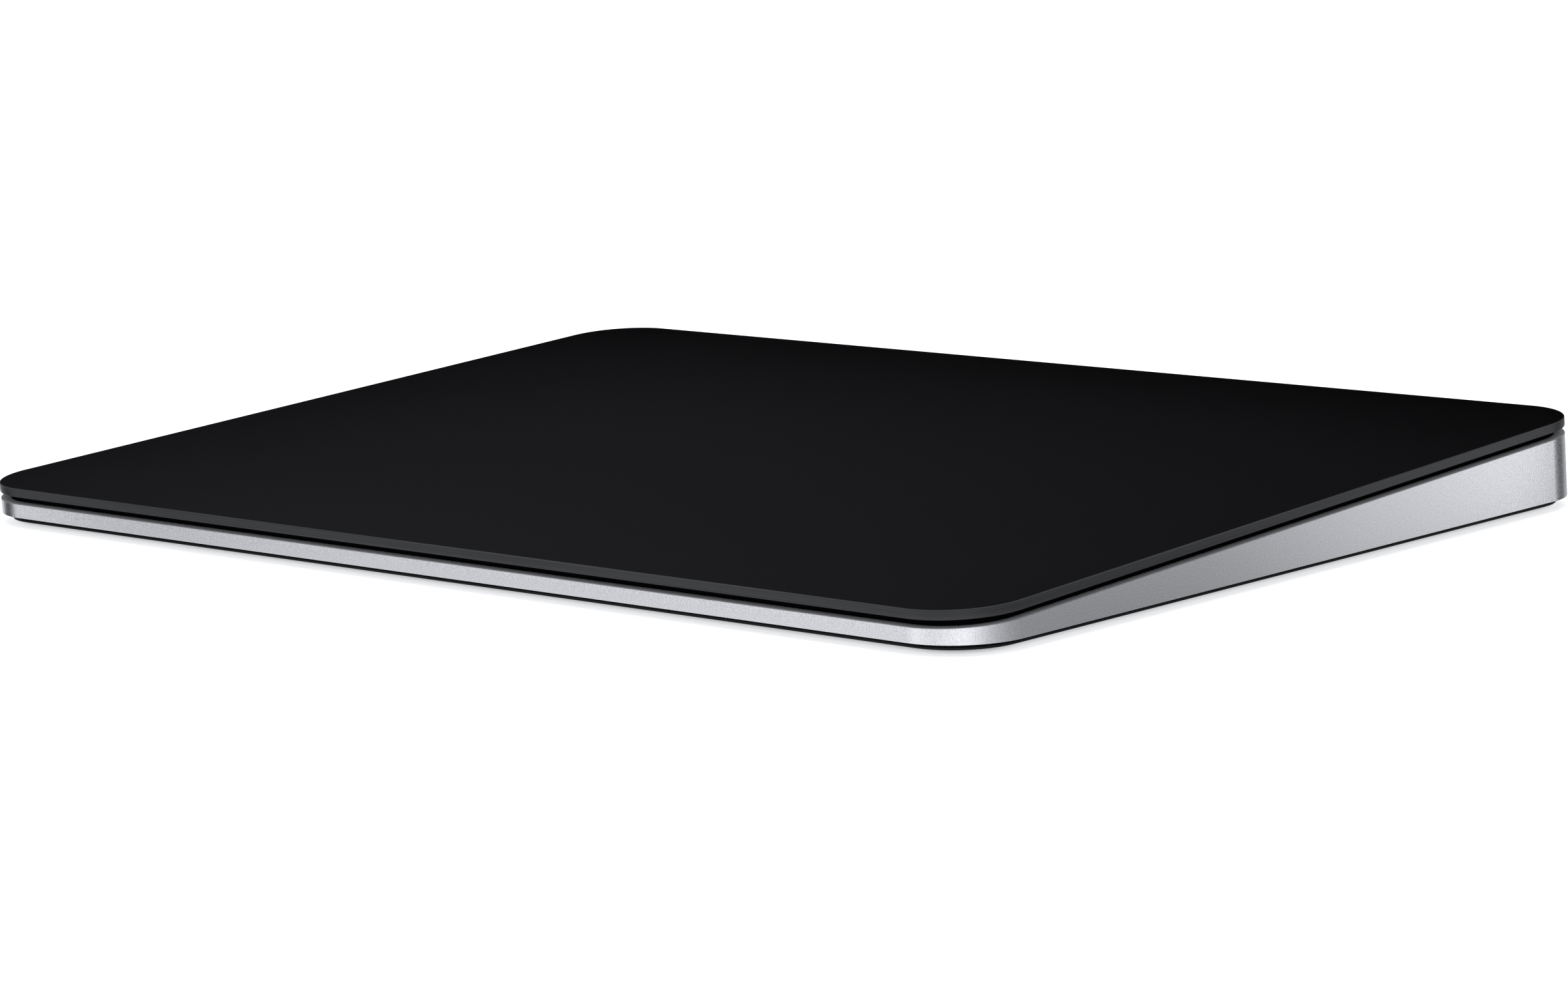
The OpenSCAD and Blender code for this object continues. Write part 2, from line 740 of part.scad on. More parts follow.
module haptic_core() {
    leg_end = 2 * leg_pitch + leg_w;
    color("#55585d") translate([0, haptic_y, core_z]) linear_extrude(core_t) {
        translate([-haptic_l / 2, -leg_end / 2]) square([core_bar, leg_end]);
        for (i = [-1:1])
            translate([-haptic_l / 2, i * leg_pitch - leg_w / 2]) square([haptic_l, leg_w]);
    }
}

module haptic_coils() {
    coil_x = haptic_l / 2 - chip_space - coil_l;
    color("#a8562b") for (i = [-1:1])
        translate([coil_x, haptic_y + i * leg_pitch, core_z + core_t / 2])
            rotate([90, 0, 90]) linear_extrude(coil_l) difference() {
                square([leg_w + 2 * coil_w, core_t + 2 * coil_h], center = true);
                square([leg_w, core_t], center = true);
            }
}

module haptic_screws() {
    color("#6d6f73") screws_at(HAPTIC_HOLES, haptic_z + bracket_t);
}

// The battery: pouch cell, tape, guard board and wires
module battery_cell() {
    color("#2f3338")
        translate([battery_x0, battery_y0, battery_z]) cube([battery_l, battery_d, battery_t]);
}

module battery_tape() {
    color("#e6e2d3") for (x = [battery_x0 + tape_end, battery_x1 - tape_end - tape_w])
        translate([x, battery_y0, floor_z]) cube([tape_w, battery_d, tape_t]);
}

module battery_guard() {
    color("#1f5a3c")
        translate([battery_x1, battery_mid - guard_w / 2, battery_z + battery_t - guard_h])
            cube([guard_t, guard_w, guard_h]);
}

module battery_wires() {
    color("#b3261e") for (i = [-1:1])
        translate([guard_x1, battery_mid + i * wire_pitch, logic_top + plug_h / 2])
            rotate([0, 90, 0]) cylinder(h = plug_x - guard_x1, d = wire_d);
}

module battery_plug() {
    color("#e9e6da")
        translate([plug_x, battery_mid - plug_w / 2, logic_top]) cube([plug_l, plug_w, plug_h]);
}

// The logic board and what is soldered on it
module logic_board() {
    color("#14402c") translate([0, 0, logic_z]) linear_extrude(pcb_t) difference() {
        translate([logic_x0, logic_y0]) square([logic_l, logic_d]);
        clear_holes(LOGIC_HOLES);
    }
}

module logic_chips() {
    chip_x = plug_x + plug_l + chip_space;
    color("#242528") {
        translate([chip_x, battery_mid - plug_w / 2, logic_top]) cube([main_chip, main_chip, chip_t]);
        translate([chip_x, battery_mid - plug_w / 2 - chip_space - charger_chip, logic_top])
            cube([charger_chip, charger_chip, chip_t]);
    }
}

module shield_can() {
    can_x = plug_x + plug_l + main_chip + 2 * chip_space;
    can_y = battery_mid - plug_w / 2;
    color("#b4b6b9") translate([can_x, can_y, logic_top]) difference() {
        cube([can_l, can_d, can_h]);
        translate([can_t, can_t, -over]) cube([can_l - 2 * can_t, can_d - 2 * can_t, can_h - can_t + over]);
    }
}

module logic_socket() {
    color("#d8d4c4")
        translate([socket_x - socket_w / 2, logic_y0, logic_top]) cube([socket_w, socket_d, socket_h]);
}

module logic_screws() {
    color("#6d6f73") screws_at(LOGIC_HOLES, logic_top);
}

// The ribbon that feeds the sensor board, in a loose step from socket to socket
module touch_ribbon() {
    start = [
        slope_to_y(touch_v, stiffener_depth + socket_h / 2) + thread_gap,
        slope_to_z(touch_v, stiffener_depth + socket_h / 2)
    ];
    end = [logic_y0, logic_top + socket_h / 2];
    straight = touch_run / 4;
    path = [start, start + [straight, 0], end - [straight, 0], end];
    back = [for (i = [3:-1:0]) path[i] - [0, ribbon_t]];
    color("#b5742c")
        translate([socket_x - socket_w / 2 + ribbon_gap, 0, 0])
            rotate([90, 0, 90]) linear_extrude(socket_w - 2 * ribbon_gap) polygon(concat(path, back));
}

// The charge port in the back wall: steel shell, contact tongue and its own small board
module charge_port() {
    color("#b9bbbf") translate([0, 0, port_z]) difference() {
        along_y(port_y - port_l, port_y) slot_outline(port_w, port_h);
        along_y(port_y - port_l + port_wall, port_y + over)
            slot_outline(port_w - 2 * port_wall, port_h - 2 * port_wall);
    }
}

module port_tongue() {
    color("#1b1c1e") translate([-tongue_w / 2, port_y - port_l + port_wall, port_z - tongue_t / 2])
        cube([tongue_w, tongue_l, tongue_t]);
}

module port_board() {
    color("#14402c") translate([0, 0, port_board_z]) linear_extrude(pcb_t) difference() {
        translate([-port_board_w / 2, port_board_y]) square([port_board_w, port_board_d]);
        clear_holes(PORT_HOLES);
    }
}

module port_screws() {
    color("#6d6f73") screws_at(PORT_HOLES, port_board_z + pcb_t);
}

// The ribbon that joins the port, the switch and the logic board
module rear_ribbon() {
    drop_x = logic_x0 + hole_edge + pad_d_floor;
    drop_y = logic_y1 - ribbon_w;
    color("#b5742c") {
        strip(-ribbon_w, rear_lane, switch_x + ribbon_w / 2, rear_lane + ribbon_w);
        translate([-ribbon_w, rear_lane, floor_z]) cube([ribbon_t, ribbon_w, pad_h_floor]);
        strip(drop_x, drop_y, drop_x + ribbon_w, rear_lane + ribbon_w);
        translate([drop_x, drop_y, floor_z]) cube([ribbon_w, ribbon_t, logic_lift]);
        strip(switch_x - ribbon_w / 2, rear_lane, switch_x + ribbon_w / 2, holder_y - switch_w / 2);
    }
}

// The power switch: knob in its slot, coloured flag, switch body and holder
module switch_knob() {
    ribs = 3;
    rib_w = 0.35;
    color("#d9dadc") at_switch() translate([-switch_travel / 2, 0, 0]) {
        along_y(-apron_gap - apron_t / 2, wall_t) slot_outline(knob_l, knob_h);
        for (i = [1 - ribs:2:ribs - 1])
            translate([i * rib_w, wall_t - over, 0])
                along_y(0, over + knob_proud) square([rib_w, knob_h - 2 * rib_w], center = true);
        along_y(-apron_gap - apron_t, -apron_gap) square([apron_l, apron_h], center = true);
        along_y(-apron_gap - apron_t - stem_l, -apron_gap - apron_t / 2) square(stem_w, center = true);
    }
}

module switch_flag() {
    color("#2fa84f") at_switch()
        translate([knob_l / 2 - switch_travel / 2 + slot_gap, -apron_gap, -knob_h / 2])
            cube([switch_travel, flag_t, knob_h]);
}

module switch_body() {
    groove_l = stem_w + switch_travel + 2 * run_gap;
    groove_h = stem_w + 2 * run_gap;
    color("#1d1e20") at_switch() difference() {
        along_y(-switch_back - switch_w, -switch_back) square([switch_l, switch_h], center = true);
        along_y(-switch_back - stem_l, -switch_back + over) square([groove_l, groove_h], center = true);
    }
}

module switch_holder() {
    ear_z = floor_z + pad_h_floor;
    color("#303236") difference() {
        union() {
            intersection() {
                at_switch()
                    translate([-switch_l / 2, -switch_back - switch_w, -switch_h / 2 - reach])
                        cube([switch_l, switch_w, reach]);
                above(ear_z);
            }
            translate([switch_x - switch_l / 2 - holder_ear, holder_y - pad_d_floor / 2, ear_z])
                cube([switch_l + 2 * holder_ear, pad_d_floor, holder_t]);
        }
        pilots_at(HOLDER_HOLES, ear_z + holder_t);
    }
}

module holder_screws() {
    color("#6d6f73") screws_at(HOLDER_HOLES, floor_z + pad_h_floor + holder_t);
}

// The antenna at the back left, over a slot in the tray floor
module antenna_carrier() {
    color("#3a3c40") translate([antenna_x, antenna_y, floor_z]) cube([antenna_l, antenna_d, antenna_h]);
}

module antenna_foil() {
    run = antenna_l - 2 * antenna_rim;
    pitch = 2 * foil_w;
    teeth = floor((run - foil_w) / pitch / 2);
    track_d = antenna_d - 2 * antenna_rim;
    color("#c98a3a")
        translate([antenna_x + antenna_rim, antenna_y + antenna_rim, floor_z + antenna_h])
            linear_extrude(foil_t) {
                for (i = [0:teeth]) translate([2 * i * pitch, 0]) square([foil_w, track_d]);
                for (i = [0:teeth - 1])
                    translate([2 * i * pitch, i % 2 == 0 ? track_d - foil_w : 0])
                        square([2 * pitch + foil_w, foil_w]);
            }
}

module antenna_coax() {
    axis_z = floor_z + coax_d / 2;
    color("#2a2b2e") {
        translate([coax_x0, antenna_y, axis_z])
            rotate([90, 0, 0]) cylinder(h = antenna_y - coax_y, d = coax_d);
        translate([coax_x0, coax_y, axis_z]) rotate([0, 90, 0]) cylinder(h = coax_x1 - coax_x0, d = coax_d);
        translate([coax_x1, coax_y, axis_z]) cylinder(h = logic_z - axis_z, d = coax_d);
        for (x = [coax_x0, coax_x1]) translate([x, coax_y, axis_z]) sphere(d = coax_d);
    }
}

touch_glass();
glass_film();
sensor_board();
touch_chips();
touch_socket();
stiffener();
gel_pads();
armature();
load_seats();
shell();
base_bond();
base_cover();
feet();
spring_arms();
strain_gauges();
arm_screws();
gauge_ribbons();
haptic_bracket();
haptic_core();
haptic_coils();
haptic_screws();
battery_cell();
battery_tape();
battery_guard();
battery_wires();
battery_plug();
logic_board();
logic_chips();
shield_can();
logic_socket();
logic_screws();
touch_ribbon();
charge_port();
port_tongue();
port_board();
port_screws();
rear_ribbon();
switch_body();
switch_holder();
holder_screws();
switch_knob();
switch_flag();
antenna_carrier();
antenna_foil();
antenna_coax();
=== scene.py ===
import math

import bmesh
import bpy
from mathutils import Matrix, Vector


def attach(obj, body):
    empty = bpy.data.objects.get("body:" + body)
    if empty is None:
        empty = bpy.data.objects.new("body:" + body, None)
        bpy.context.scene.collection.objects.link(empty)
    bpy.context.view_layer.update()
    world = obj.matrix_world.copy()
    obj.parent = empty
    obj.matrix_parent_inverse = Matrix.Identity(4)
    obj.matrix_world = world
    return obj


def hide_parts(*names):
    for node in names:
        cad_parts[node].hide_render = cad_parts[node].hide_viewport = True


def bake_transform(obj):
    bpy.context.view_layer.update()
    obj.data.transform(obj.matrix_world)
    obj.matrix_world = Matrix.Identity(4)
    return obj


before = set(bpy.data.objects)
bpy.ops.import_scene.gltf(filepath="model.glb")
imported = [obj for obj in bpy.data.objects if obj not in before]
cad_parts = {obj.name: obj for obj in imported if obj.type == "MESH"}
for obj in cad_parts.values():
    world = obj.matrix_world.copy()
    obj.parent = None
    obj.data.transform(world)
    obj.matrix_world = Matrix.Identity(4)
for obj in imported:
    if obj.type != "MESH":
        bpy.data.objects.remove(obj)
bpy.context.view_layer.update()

# The camera stands low in front of the right front corner, 0.6 m away, with a long lens.
# Its place, its aim and its small roll were solved from the four sides of the glass.
MM = 0.001
CAMERA_PLACE = Vector((400.039, -432.956, 99.953)) * MM
CAMERA_AIM = Vector((2.166, 0.488, 2.361)) * MM
CAMERA_ROLL = math.radians(1.887)
camera_data = bpy.data.cameras.new("photo_camera")
camera_data.lens = 113.865
camera_data.sensor_width = 36.0
camera_data.sensor_fit = "HORIZONTAL"
camera_data.clip_start = 0.01
camera_data.clip_end = 30.0
camera = bpy.data.objects.new("photo_camera", camera_data)
bpy.context.scene.collection.objects.link(camera)
bpy.context.scene.camera = camera
camera_turn = (CAMERA_AIM - CAMERA_PLACE).to_track_quat("-Z", "Y").to_matrix()
camera_turn = camera_turn @ Matrix.Rotation(-CAMERA_ROLL, 3, "Z")
camera.matrix_world = Matrix.Translation(CAMERA_PLACE) @ camera_turn.to_4x4()

# The stage is a plain, pale floor in a wide white tent, a little overexposed as in a catalogue.
# Gloss sees the tent graded instead: a ring of light and dark cloth low down, which puts soft bands in the
# metal, and a dark dome above, which keeps the glass black.
bpy.context.scene.view_settings.view_transform = "Standard"
bpy.context.scene.view_settings.look = "None"


def place(tree, kind, values=None, **settings):
    """A new node with its settings and its input values, by name or by number."""
    node = tree.nodes.new(kind)
    for name, value in settings.items():
        setattr(node, name, value)
    for name, value in (values or {}).items():
        node.inputs[name].default_value = value
    return node


def join(tree, source, output, target, socket):
    """A link from an output to an input, each by name or by number."""
    tree.links.new(source.outputs[output], target.inputs[socket])


def light_ramp(tree, stops, tint=(1.0, 1.0, 1.0)):
    """A colour ramp with stops of (place, brightness), in one tint."""
    node = place(tree, "ShaderNodeValToRGB")
    ramp = node.color_ramp
    while len(ramp.elements) < len(stops):
        ramp.elements.new(0.5)
    for element, (spot, value) in zip(ramp.elements, stops):
        element.position = spot
        element.color = (value * tint[0], value * tint[1], value * tint[2], 1.0)
    return node


# The ramps hold brightness as a share of this strength
FULL_GLOW = 2.0
# Brightness of the ring, by the bearing in degrees from the back: front, left, back, right, front
RING_GLOW = [
    (-180, 1.05), (-150, 1.36), (-128, 0.66), (-118, 0.8), (-100, 0.8), (-66, 1.15), (-45, 1.0),
    (-24, 0.7), (-6, 0.56), (10, 0.47), (32, 0.38), (62, 0.44), (74, 0.52), (100, 0.8), (130, 1.45),
    (160, 1.2), (180, 1.03),
]
RING_TINT = (0.985, 0.995, 1.03)
# Brightness of the dome, by the sine of the height above the floor
DOME_GLOW = [(0.0, 0.03), (0.3, 0.045), (0.5, 0.08), (0.7, 0.13), (0.82, 0.24), (0.92, 0.55), (1.0, 0.45)]
DOME_TINT = (0.96, 0.98, 1.1)
# The ring goes over into the dome between these two heights, as sines too
DOME_FROM = -0.03
DOME_TO = 0.1
PLAIN_LIGHT = 1.3
tent = bpy.data.worlds.new("studio_tent")
bpy.context.scene.world = tent
tent.use_nodes = True
tent.cycles.sampling_method = "NONE"
tree = tent.node_tree
tree.nodes.clear()
coords = place(tree, "ShaderNodeTexCoord")
split = place(tree, "ShaderNodeSeparateXYZ")
join(tree, coords, "Generated", split, "Vector")
bearing = place(tree, "ShaderNodeMath", operation="ARCTAN2")
join(tree, split, "X", bearing, 0)
join(tree, split, "Y", bearing, 1)
turn_share = place(tree, "ShaderNodeMapRange", {"From Min": -math.pi, "From Max": math.pi})
join(tree, bearing, "Value", turn_share, "Value")
ring_stops = [((degrees + 180) / 360, value / FULL_GLOW) for degrees, value in RING_GLOW]
ring = light_ramp(tree, ring_stops, RING_TINT)
join(tree, turn_share, "Result", ring, "Fac")
dome_stops = [(height, value / FULL_GLOW) for height, value in DOME_GLOW]
dome = light_ramp(tree, dome_stops, DOME_TINT)
join(tree, split, "Z", dome, "Fac")
dome_edge = {"From Min": DOME_FROM, "From Max": DOME_TO}
above = place(tree, "ShaderNodeMapRange", dome_edge, interpolation_type="SMOOTHSTEP")
join(tree, split, "Z", above, "Value")
tent_cloth = place(tree, "ShaderNodeMix", data_type="RGBA")
join(tree, above, "Result", tent_cloth, 0)
join(tree, ring, "Color", tent_cloth, 6)
join(tree, dome, "Color", tent_cloth, 7)
seen_by_gloss = place(tree, "ShaderNodeBackground", {"Strength": FULL_GLOW})
join(tree, tent_cloth, 2, seen_by_gloss, "Color")
seen_by_rest = place(tree, "ShaderNodeBackground", {"Strength": PLAIN_LIGHT})
ray = place(tree, "ShaderNodeLightPath")
tent_mix = place(tree, "ShaderNodeMixShader")
join(tree, ray, "Is Glossy Ray", tent_mix, 0)
join(tree, seen_by_rest, 0, tent_mix, 1)
join(tree, seen_by_gloss, 0, tent_mix, 2)
tent_out = place(tree, "ShaderNodeOutputWorld")
join(tree, tent_mix, 0, tent_out, "Surface")


def new_finish(name):
    """A new material with its Principled shader, as (material, tree, shader)."""
    material = bpy.data.materials.new(name)
    material.use_nodes = True
    shader = material.node_tree.nodes["Principled BSDF"]
    return material, material.node_tree, shader


def stage_sheet(name, start, side_a, side_b, steps):
    """A flat sheet of the stage from one corner and its two sides, with so many steps along each."""
    bm = bmesh.new()
    start, side_a, side_b = Vector(start), Vector(side_a), Vector(side_b)
    rows = [
        [bm.verts.new(start + side_a * i / steps + side_b * j / steps) for j in range(steps + 1)]
        for i in range(steps + 1)
    ]
    for i in range(steps):
        for j in range(steps):
            bm.faces.new((rows[i][j], rows[i + 1][j], rows[i + 1][j + 1], rows[i][j + 1]))
    mesh = bpy.data.meshes.new(name)
    bm.to_mesh(mesh)
    bm.free()
    sheet = bpy.data.objects.new(name, mesh)
    bpy.context.scene.collection.objects.link(sheet)
    return sheet


FLOOR_W = 8.0
FLOOR_STEPS = 8
FLOOR_TINT = (0.97, 0.98, 1.0)
# The floor glows a little, most in the seam under the pad, by the distance out from the pad's outline in mm
FLOOR_GLOW = [
    (-4.0, 0.39), (-3.1, 0.47), (-2.85, 0.515), (-2.35, 0.595), (-1.85, 0.64), (-1.5, 0.64), (-1.1, 0.535),
    (-0.6, 0.475), (0.0, 0.455), (0.66, 0.495), (2.0, 0.52),
]
PAD_W = 160.0
PAD_D = 114.5
CORNER_R = 8.5
BASE_Y = 0.0963
floor_corner = (-FLOOR_W / 2, -FLOOR_W / 2, 0.0)
floor = stage_sheet("floor", floor_corner, (FLOOR_W, 0.0, 0.0), (0.0, FLOOR_W, 0.0), FLOOR_STEPS)
floor.visible_glossy = False
floor_paint, tree, shader = new_finish("floor_paint")
shader.inputs["Base Color"].default_value = (0.85, 0.85, 0.85, 1.0)
shader.inputs["Roughness"].default_value = 1.0
shader.inputs["Specular IOR Level"].default_value = 0.0
shader.inputs["Emission Strength"].default_value = 1.0
coords = place(tree, "ShaderNodeTexCoord")
centred = place(tree, "ShaderNodeVectorMath", {1: (0.0, BASE_Y * MM, 0.0)}, operation="SUBTRACT")
join(tree, coords, "Object", centred, 0)
mirrored = place(tree, "ShaderNodeVectorMath", operation="ABSOLUTE")
join(tree, centred, "Vector", mirrored, 0)
corner_middle = Vector((PAD_W / 2 - CORNER_R, PAD_D / 2 - CORNER_R, 1.0)) * MM
beyond = place(tree, "ShaderNodeVectorMath", {1: corner_middle}, operation="SUBTRACT")
join(tree, mirrored, "Vector", beyond, 0)
outside = place(tree, "ShaderNodeVectorMath", {1: (0.0, 0.0, 0.0)}, operation="MAXIMUM")
join(tree, beyond, "Vector", outside, 0)
reach = place(tree, "ShaderNodeVectorMath", operation="LENGTH")
join(tree, outside, "Vector", reach, 0)
glow_from = FLOOR_GLOW[0][0]
glow_span = FLOOR_GLOW[-1][0] - glow_from
glow_share = place(
    tree, "ShaderNodeMapRange",
    {"From Min": (CORNER_R + glow_from) * MM, "From Max": (CORNER_R + glow_from + glow_span) * MM},
)
join(tree, reach, "Value", glow_share, "Value")
glow = light_ramp(tree, [((far - glow_from) / glow_span, value) for far, value in FLOOR_GLOW], FLOOR_TINT)
join(tree, glow_share, "Result", glow, "Fac")
join(tree, glow, "Color", shader, "Emission Color")
floor.data.materials.append(floor_paint)

# Four cards stand round the pad, and only reflections show them. The long, nearly black one behind tones
# the glass from back to front. Two by the front left and back right corners put narrow bands in the round
# metal, and the one along the right side gives that wall its slow fade.
CARD_STEPS = 4
# The back card's shade runs between two lines from one point, which lies right of the card and below it.
# The point is in shares of the card's size, and a line is its way along over its way up.
FAN_POINT = (1.25, 0.0, -1.095)
FAN_LEFT = -0.4965
FAN_RIGHT = -0.331


def card_finish(name, tint, axis, stops, second=None):
    """A card's one-sided paint: its glow changes along an axis by stops of (share, brightness), and where
    a second (way, stops) is given, also along that axis or, by the way "fan", between the fan's lines."""
    material, tree, shader = new_finish(name)
    shader.inputs["Base Color"].default_value = (0.001, 0.001, 0.001, 1.0)
    shader.inputs["Specular IOR Level"].default_value = 0.0
    shader.inputs["Emission Strength"].default_value = FULL_GLOW
    coords = place(tree, "ShaderNodeTexCoord")
    split = place(tree, "ShaderNodeSeparateXYZ")
    join(tree, coords, "Generated", split, "Vector")
    glow = light_ramp(tree, [(share, value / FULL_GLOW) for share, value in stops], tint)
    join(tree, split, axis, glow, "Fac")
    if second:
        way, shades = second
        shade = light_ramp(tree, shades)
        if way == "fan":
            spread = place(tree, "ShaderNodeVectorMath", {1: FAN_POINT}, operation="SUBTRACT")
            join(tree, coords, "Generated", spread, 0)
            sides = place(tree, "ShaderNodeSeparateXYZ")
            join(tree, spread, "Vector", sides, "Vector")
            slant = place(tree, "ShaderNodeMath", operation="DIVIDE")
            join(tree, sides, "X", slant, 0)
            join(tree, sides, "Z", slant, 1)
            share = place(tree, "ShaderNodeMapRange", {"From Min": FAN_LEFT, "From Max": FAN_RIGHT})
            join(tree, slant, "Value", share, "Value")
            join(tree, share, "Result", shade, "Fac")
        else:
            join(tree, split, way, shade, "Fac")
        both = place(tree, "ShaderNodeMix", {0: 1.0}, data_type="RGBA", blend_type="MULTIPLY")
        join(tree, glow, "Color", both, 6)
        join(tree, shade, "Color", both, 7)
        join(tree, both, 2, shader, "Emission Color")
    else:
        join(tree, glow, "Color", shader, "Emission Color")
    side = place(tree, "ShaderNodeNewGeometry")
    clear = place(tree, "ShaderNodeBsdfTransparent")
    one_sided = place(tree, "ShaderNodeMixShader")
    join(tree, side, "Backfacing", one_sided, 0)
    join(tree, shader, 0, one_sided, 1)
    join(tree, clear, 0, one_sided, 2)
    join(tree, one_sided, 0, tree.nodes["Material Output"], "Surface")
    return material


def gloss_card(name, start, side_a, side_b, paint):
    """A card from one corner and its two sides, in its paint, that only reflections show."""
    card = stage_sheet(name, start, side_a, side_b, CARD_STEPS)
    card.visible_camera = False
    card.visible_diffuse = False
    card.visible_shadow = False
    card.visible_transmission = False
    card.data.materials.append(paint)


# The back card is lighter towards its top and darker to both sides, which the glass shows along its edges
BACK_GLOW = [
    (0.0, 0.0), (0.35, 0.0), (0.39, 0.0145), (0.45, 0.0245), (0.52, 0.0295), (0.63, 0.032), (0.79, 0.0435),
    (1.0, 0.047),
]
BACK_SHADE = [
    (0.0, 0.2), (0.04, 0.4), (0.11, 0.72), (0.19, 0.9), (0.28, 1.0), (0.36, 1.0), (0.5, 0.955),
    (0.66, 0.91), (0.82, 0.84), (0.9, 0.77), (0.96, 0.69), (1.0, 0.62),
]
back_paint = card_finish("back_card_paint", DOME_TINT, "Z", BACK_GLOW, ("fan", BACK_SHADE))
gloss_card(
    "back_card", start=(-0.6, 0.15, 0.005), side_a=(0.8, 0.0, 0.0), side_b=(0.0, 0.0, 0.095),
    paint=back_paint,
)
# The left card has one bright bar, and a dark end for the dark band at the front left corner
LEFT_GLOW = [
    (0.0, 0.42), (0.2, 0.42), (0.29, 0.6), (0.33, 2.0), (0.39, 2.0), (0.43, 0.75), (0.55, 0.5),
    (0.63, 0.08), (1.0, 0.08),
]
left_paint = card_finish("left_card_paint", RING_TINT, "Y", LEFT_GLOW)
gloss_card(
    "left_card", start=(-0.11, -0.108, -0.03), side_a=(0.0, 0.056, 0.0), side_b=(0.0, 0.0, 0.033),
    paint=left_paint,
)
# The right card is dark all over, for the dark band at the back right corner
RIGHT_GLOW = [(0.0, 0.1), (1.0, 0.1)]
right_paint = card_finish("right_card_paint", RING_TINT, "X", RIGHT_GLOW)
gloss_card(
    "right_card", start=(0.081, 0.09, -0.03), side_a=(0.026, 0.0, 0.0), side_b=(0.0, 0.0, 0.036),
    paint=right_paint,
)
# The fade card gets lighter towards the back, and darker towards its foot, which picks out the wall's grain
FADE_GLOW = [
    (0.0, 0.47), (0.25, 0.52), (0.36, 0.61), (0.47, 0.76), (0.58, 0.94), (0.7, 1.07), (0.8, 1.19),
    (0.88, 1.45), (0.93, 1.95), (1.0, 2.0),
]
FADE_SHADE = [(0.45, 0.42), (0.61, 0.6), (0.735, 0.76), (0.816, 0.86), (0.918, 0.95), (1.0, 1.0)]
fade_paint = card_finish("fade_card_paint", RING_TINT, "Y", FADE_GLOW, ("Z", FADE_SHADE))
gloss_card(
    "fade_card", start=(0.1, 0.079, -0.04), side_a=(0.0, -0.101, 0.0), side_b=(0.0, 0.0, 0.049),
    paint=fade_paint,
)

# The tray is a wedge of aluminium, milled to thin walls, bead blasted and anodised clear.
# Its outer edges are broken by a twentieth of a millimetre, and its rim under the glass is left matt.
RISE = 6.0
TILT = math.asin(RISE / PAD_D)
# The middle of the glass's face, which the slope is measured from
SLOPE_Y = -0.2537
SLOPE_Z = 7.9
RIM_DEPTH = 1.95
WALL_T = 1.3
# A place this near to a face counts as on it, and points this close to each other as one
NEAR = 0.03
WELD = 0.002 * MM
FLAT_TURN = math.radians(0.5)
EDGE_TURN = math.radians(30)
CREASE_TURN = math.radians(35)
# Noise masks keep nearly all their values between these two
MASK_LOW = 0.3
MASK_HIGH = 0.7


def on_slope(point):
    """A point of the row frame, in metres, as (x, way up the slope, depth below the glass's face) in mm."""
    x, y, z = point / MM
    y -= SLOPE_Y
    z -= SLOPE_Z
    return x, y * math.cos(TILT) + z * math.sin(TILT), y * math.sin(TILT) - z * math.cos(TILT)


def inset_of(x, v):
    """How far a place on the slope lies inside the outline of the pad, in mm."""
    across = abs(x) - (PAD_W / 2 - CORNER_R)
    along = abs(v) - (PAD_D / 2 - CORNER_R)
    outside = math.hypot(max(across, 0.0), max(along, 0.0))
    return CORNER_R - outside - min(max(across, along), 0.0)


def finished_piece(name, bm):
    """A piece from a bmesh, smooth but for its sharp turns, with normals that follow its large faces."""
    mesh = bpy.data.meshes.new(name)
    bm.to_mesh(mesh)
    bm.free()
    mesh.shade_smooth()
    mesh.set_sharp_from_angle(angle=CREASE_TURN)
    piece = bpy.data.objects.new(name, mesh)
    bpy.context.scene.collection.objects.link(piece)
    even = piece.modifiers.new("even_normals", "WEIGHTED_NORMAL")
    even.keep_sharp = True
    return piece


def broken_edges(node, name, edge_mm, wanted=None, shape=None):
    """A copy of a CAD node, first shaped, with its sharp edges rounded: all, or the wanted ones."""
    bm = bmesh.new()
    bm.from_mesh(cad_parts[node].data)
    bmesh.ops.remove_doubles(bm, verts=bm.verts[:], dist=WELD)
    bmesh.ops.dissolve_limit(bm, angle_limit=FLAT_TURN, verts=bm.verts[:], edges=bm.edges[:])
    if shape is not None:
        shape(bm)
    sharp = [
        edge
        for edge in bm.edges
        if len(edge.link_faces) == 2
        and edge.calc_face_angle() > EDGE_TURN
        and (wanted is None or wanted((edge.verts[0].co + edge.verts[1].co) / 2))
    ]
    bmesh.ops.bevel(
        bm, geom=sharp, offset=edge_mm * MM, segments=3, profile=0.5, affect="EDGES", clamp_overlap=True
    )
    return finished_piece(name, bm)


def tray_edge(middle):
    """True on the tray's outer skin and on the inner edge of its rim."""
    x, v, depth = on_slope(middle)
    inset = inset_of(x, v)
    return inset < NEAR or (abs(inset - WALL_T) < NEAR and abs(depth - RIM_DEPTH) < NEAR)


def new_group(name, inputs, outputs):
    """A shader node group with named value inputs and outputs, as (group, its input, its output)."""
    group = bpy.data.node_groups.new(name, "ShaderNodeTree")
    for label, value in inputs.items():
        socket = group.interface.new_socket(label, in_out="INPUT", socket_type="NodeSocketFloat")
        socket.default_value = value
    for label in outputs:
        group.interface.new_socket(label, in_out="OUTPUT", socket_type="NodeSocketFloat")
    return group, place(group, "NodeGroupInput"), place(group, "NodeGroupOutput")


def use_group(tree, group, values=None):
    """Places a node group in a material, with its own values."""
    return place(tree, "ShaderNodeGroup", values, node_tree=group)


def noise_on(tree, detail, roughness):
    """A noise texture on the row frame's own coordinates."""
    coords = place(tree, "ShaderNodeTexCoord")
    noise = place(tree, "ShaderNodeTexNoise", {"Detail": detail, "Roughness": roughness})
    join(tree, coords, "Object", noise, "Vector")
    return noise


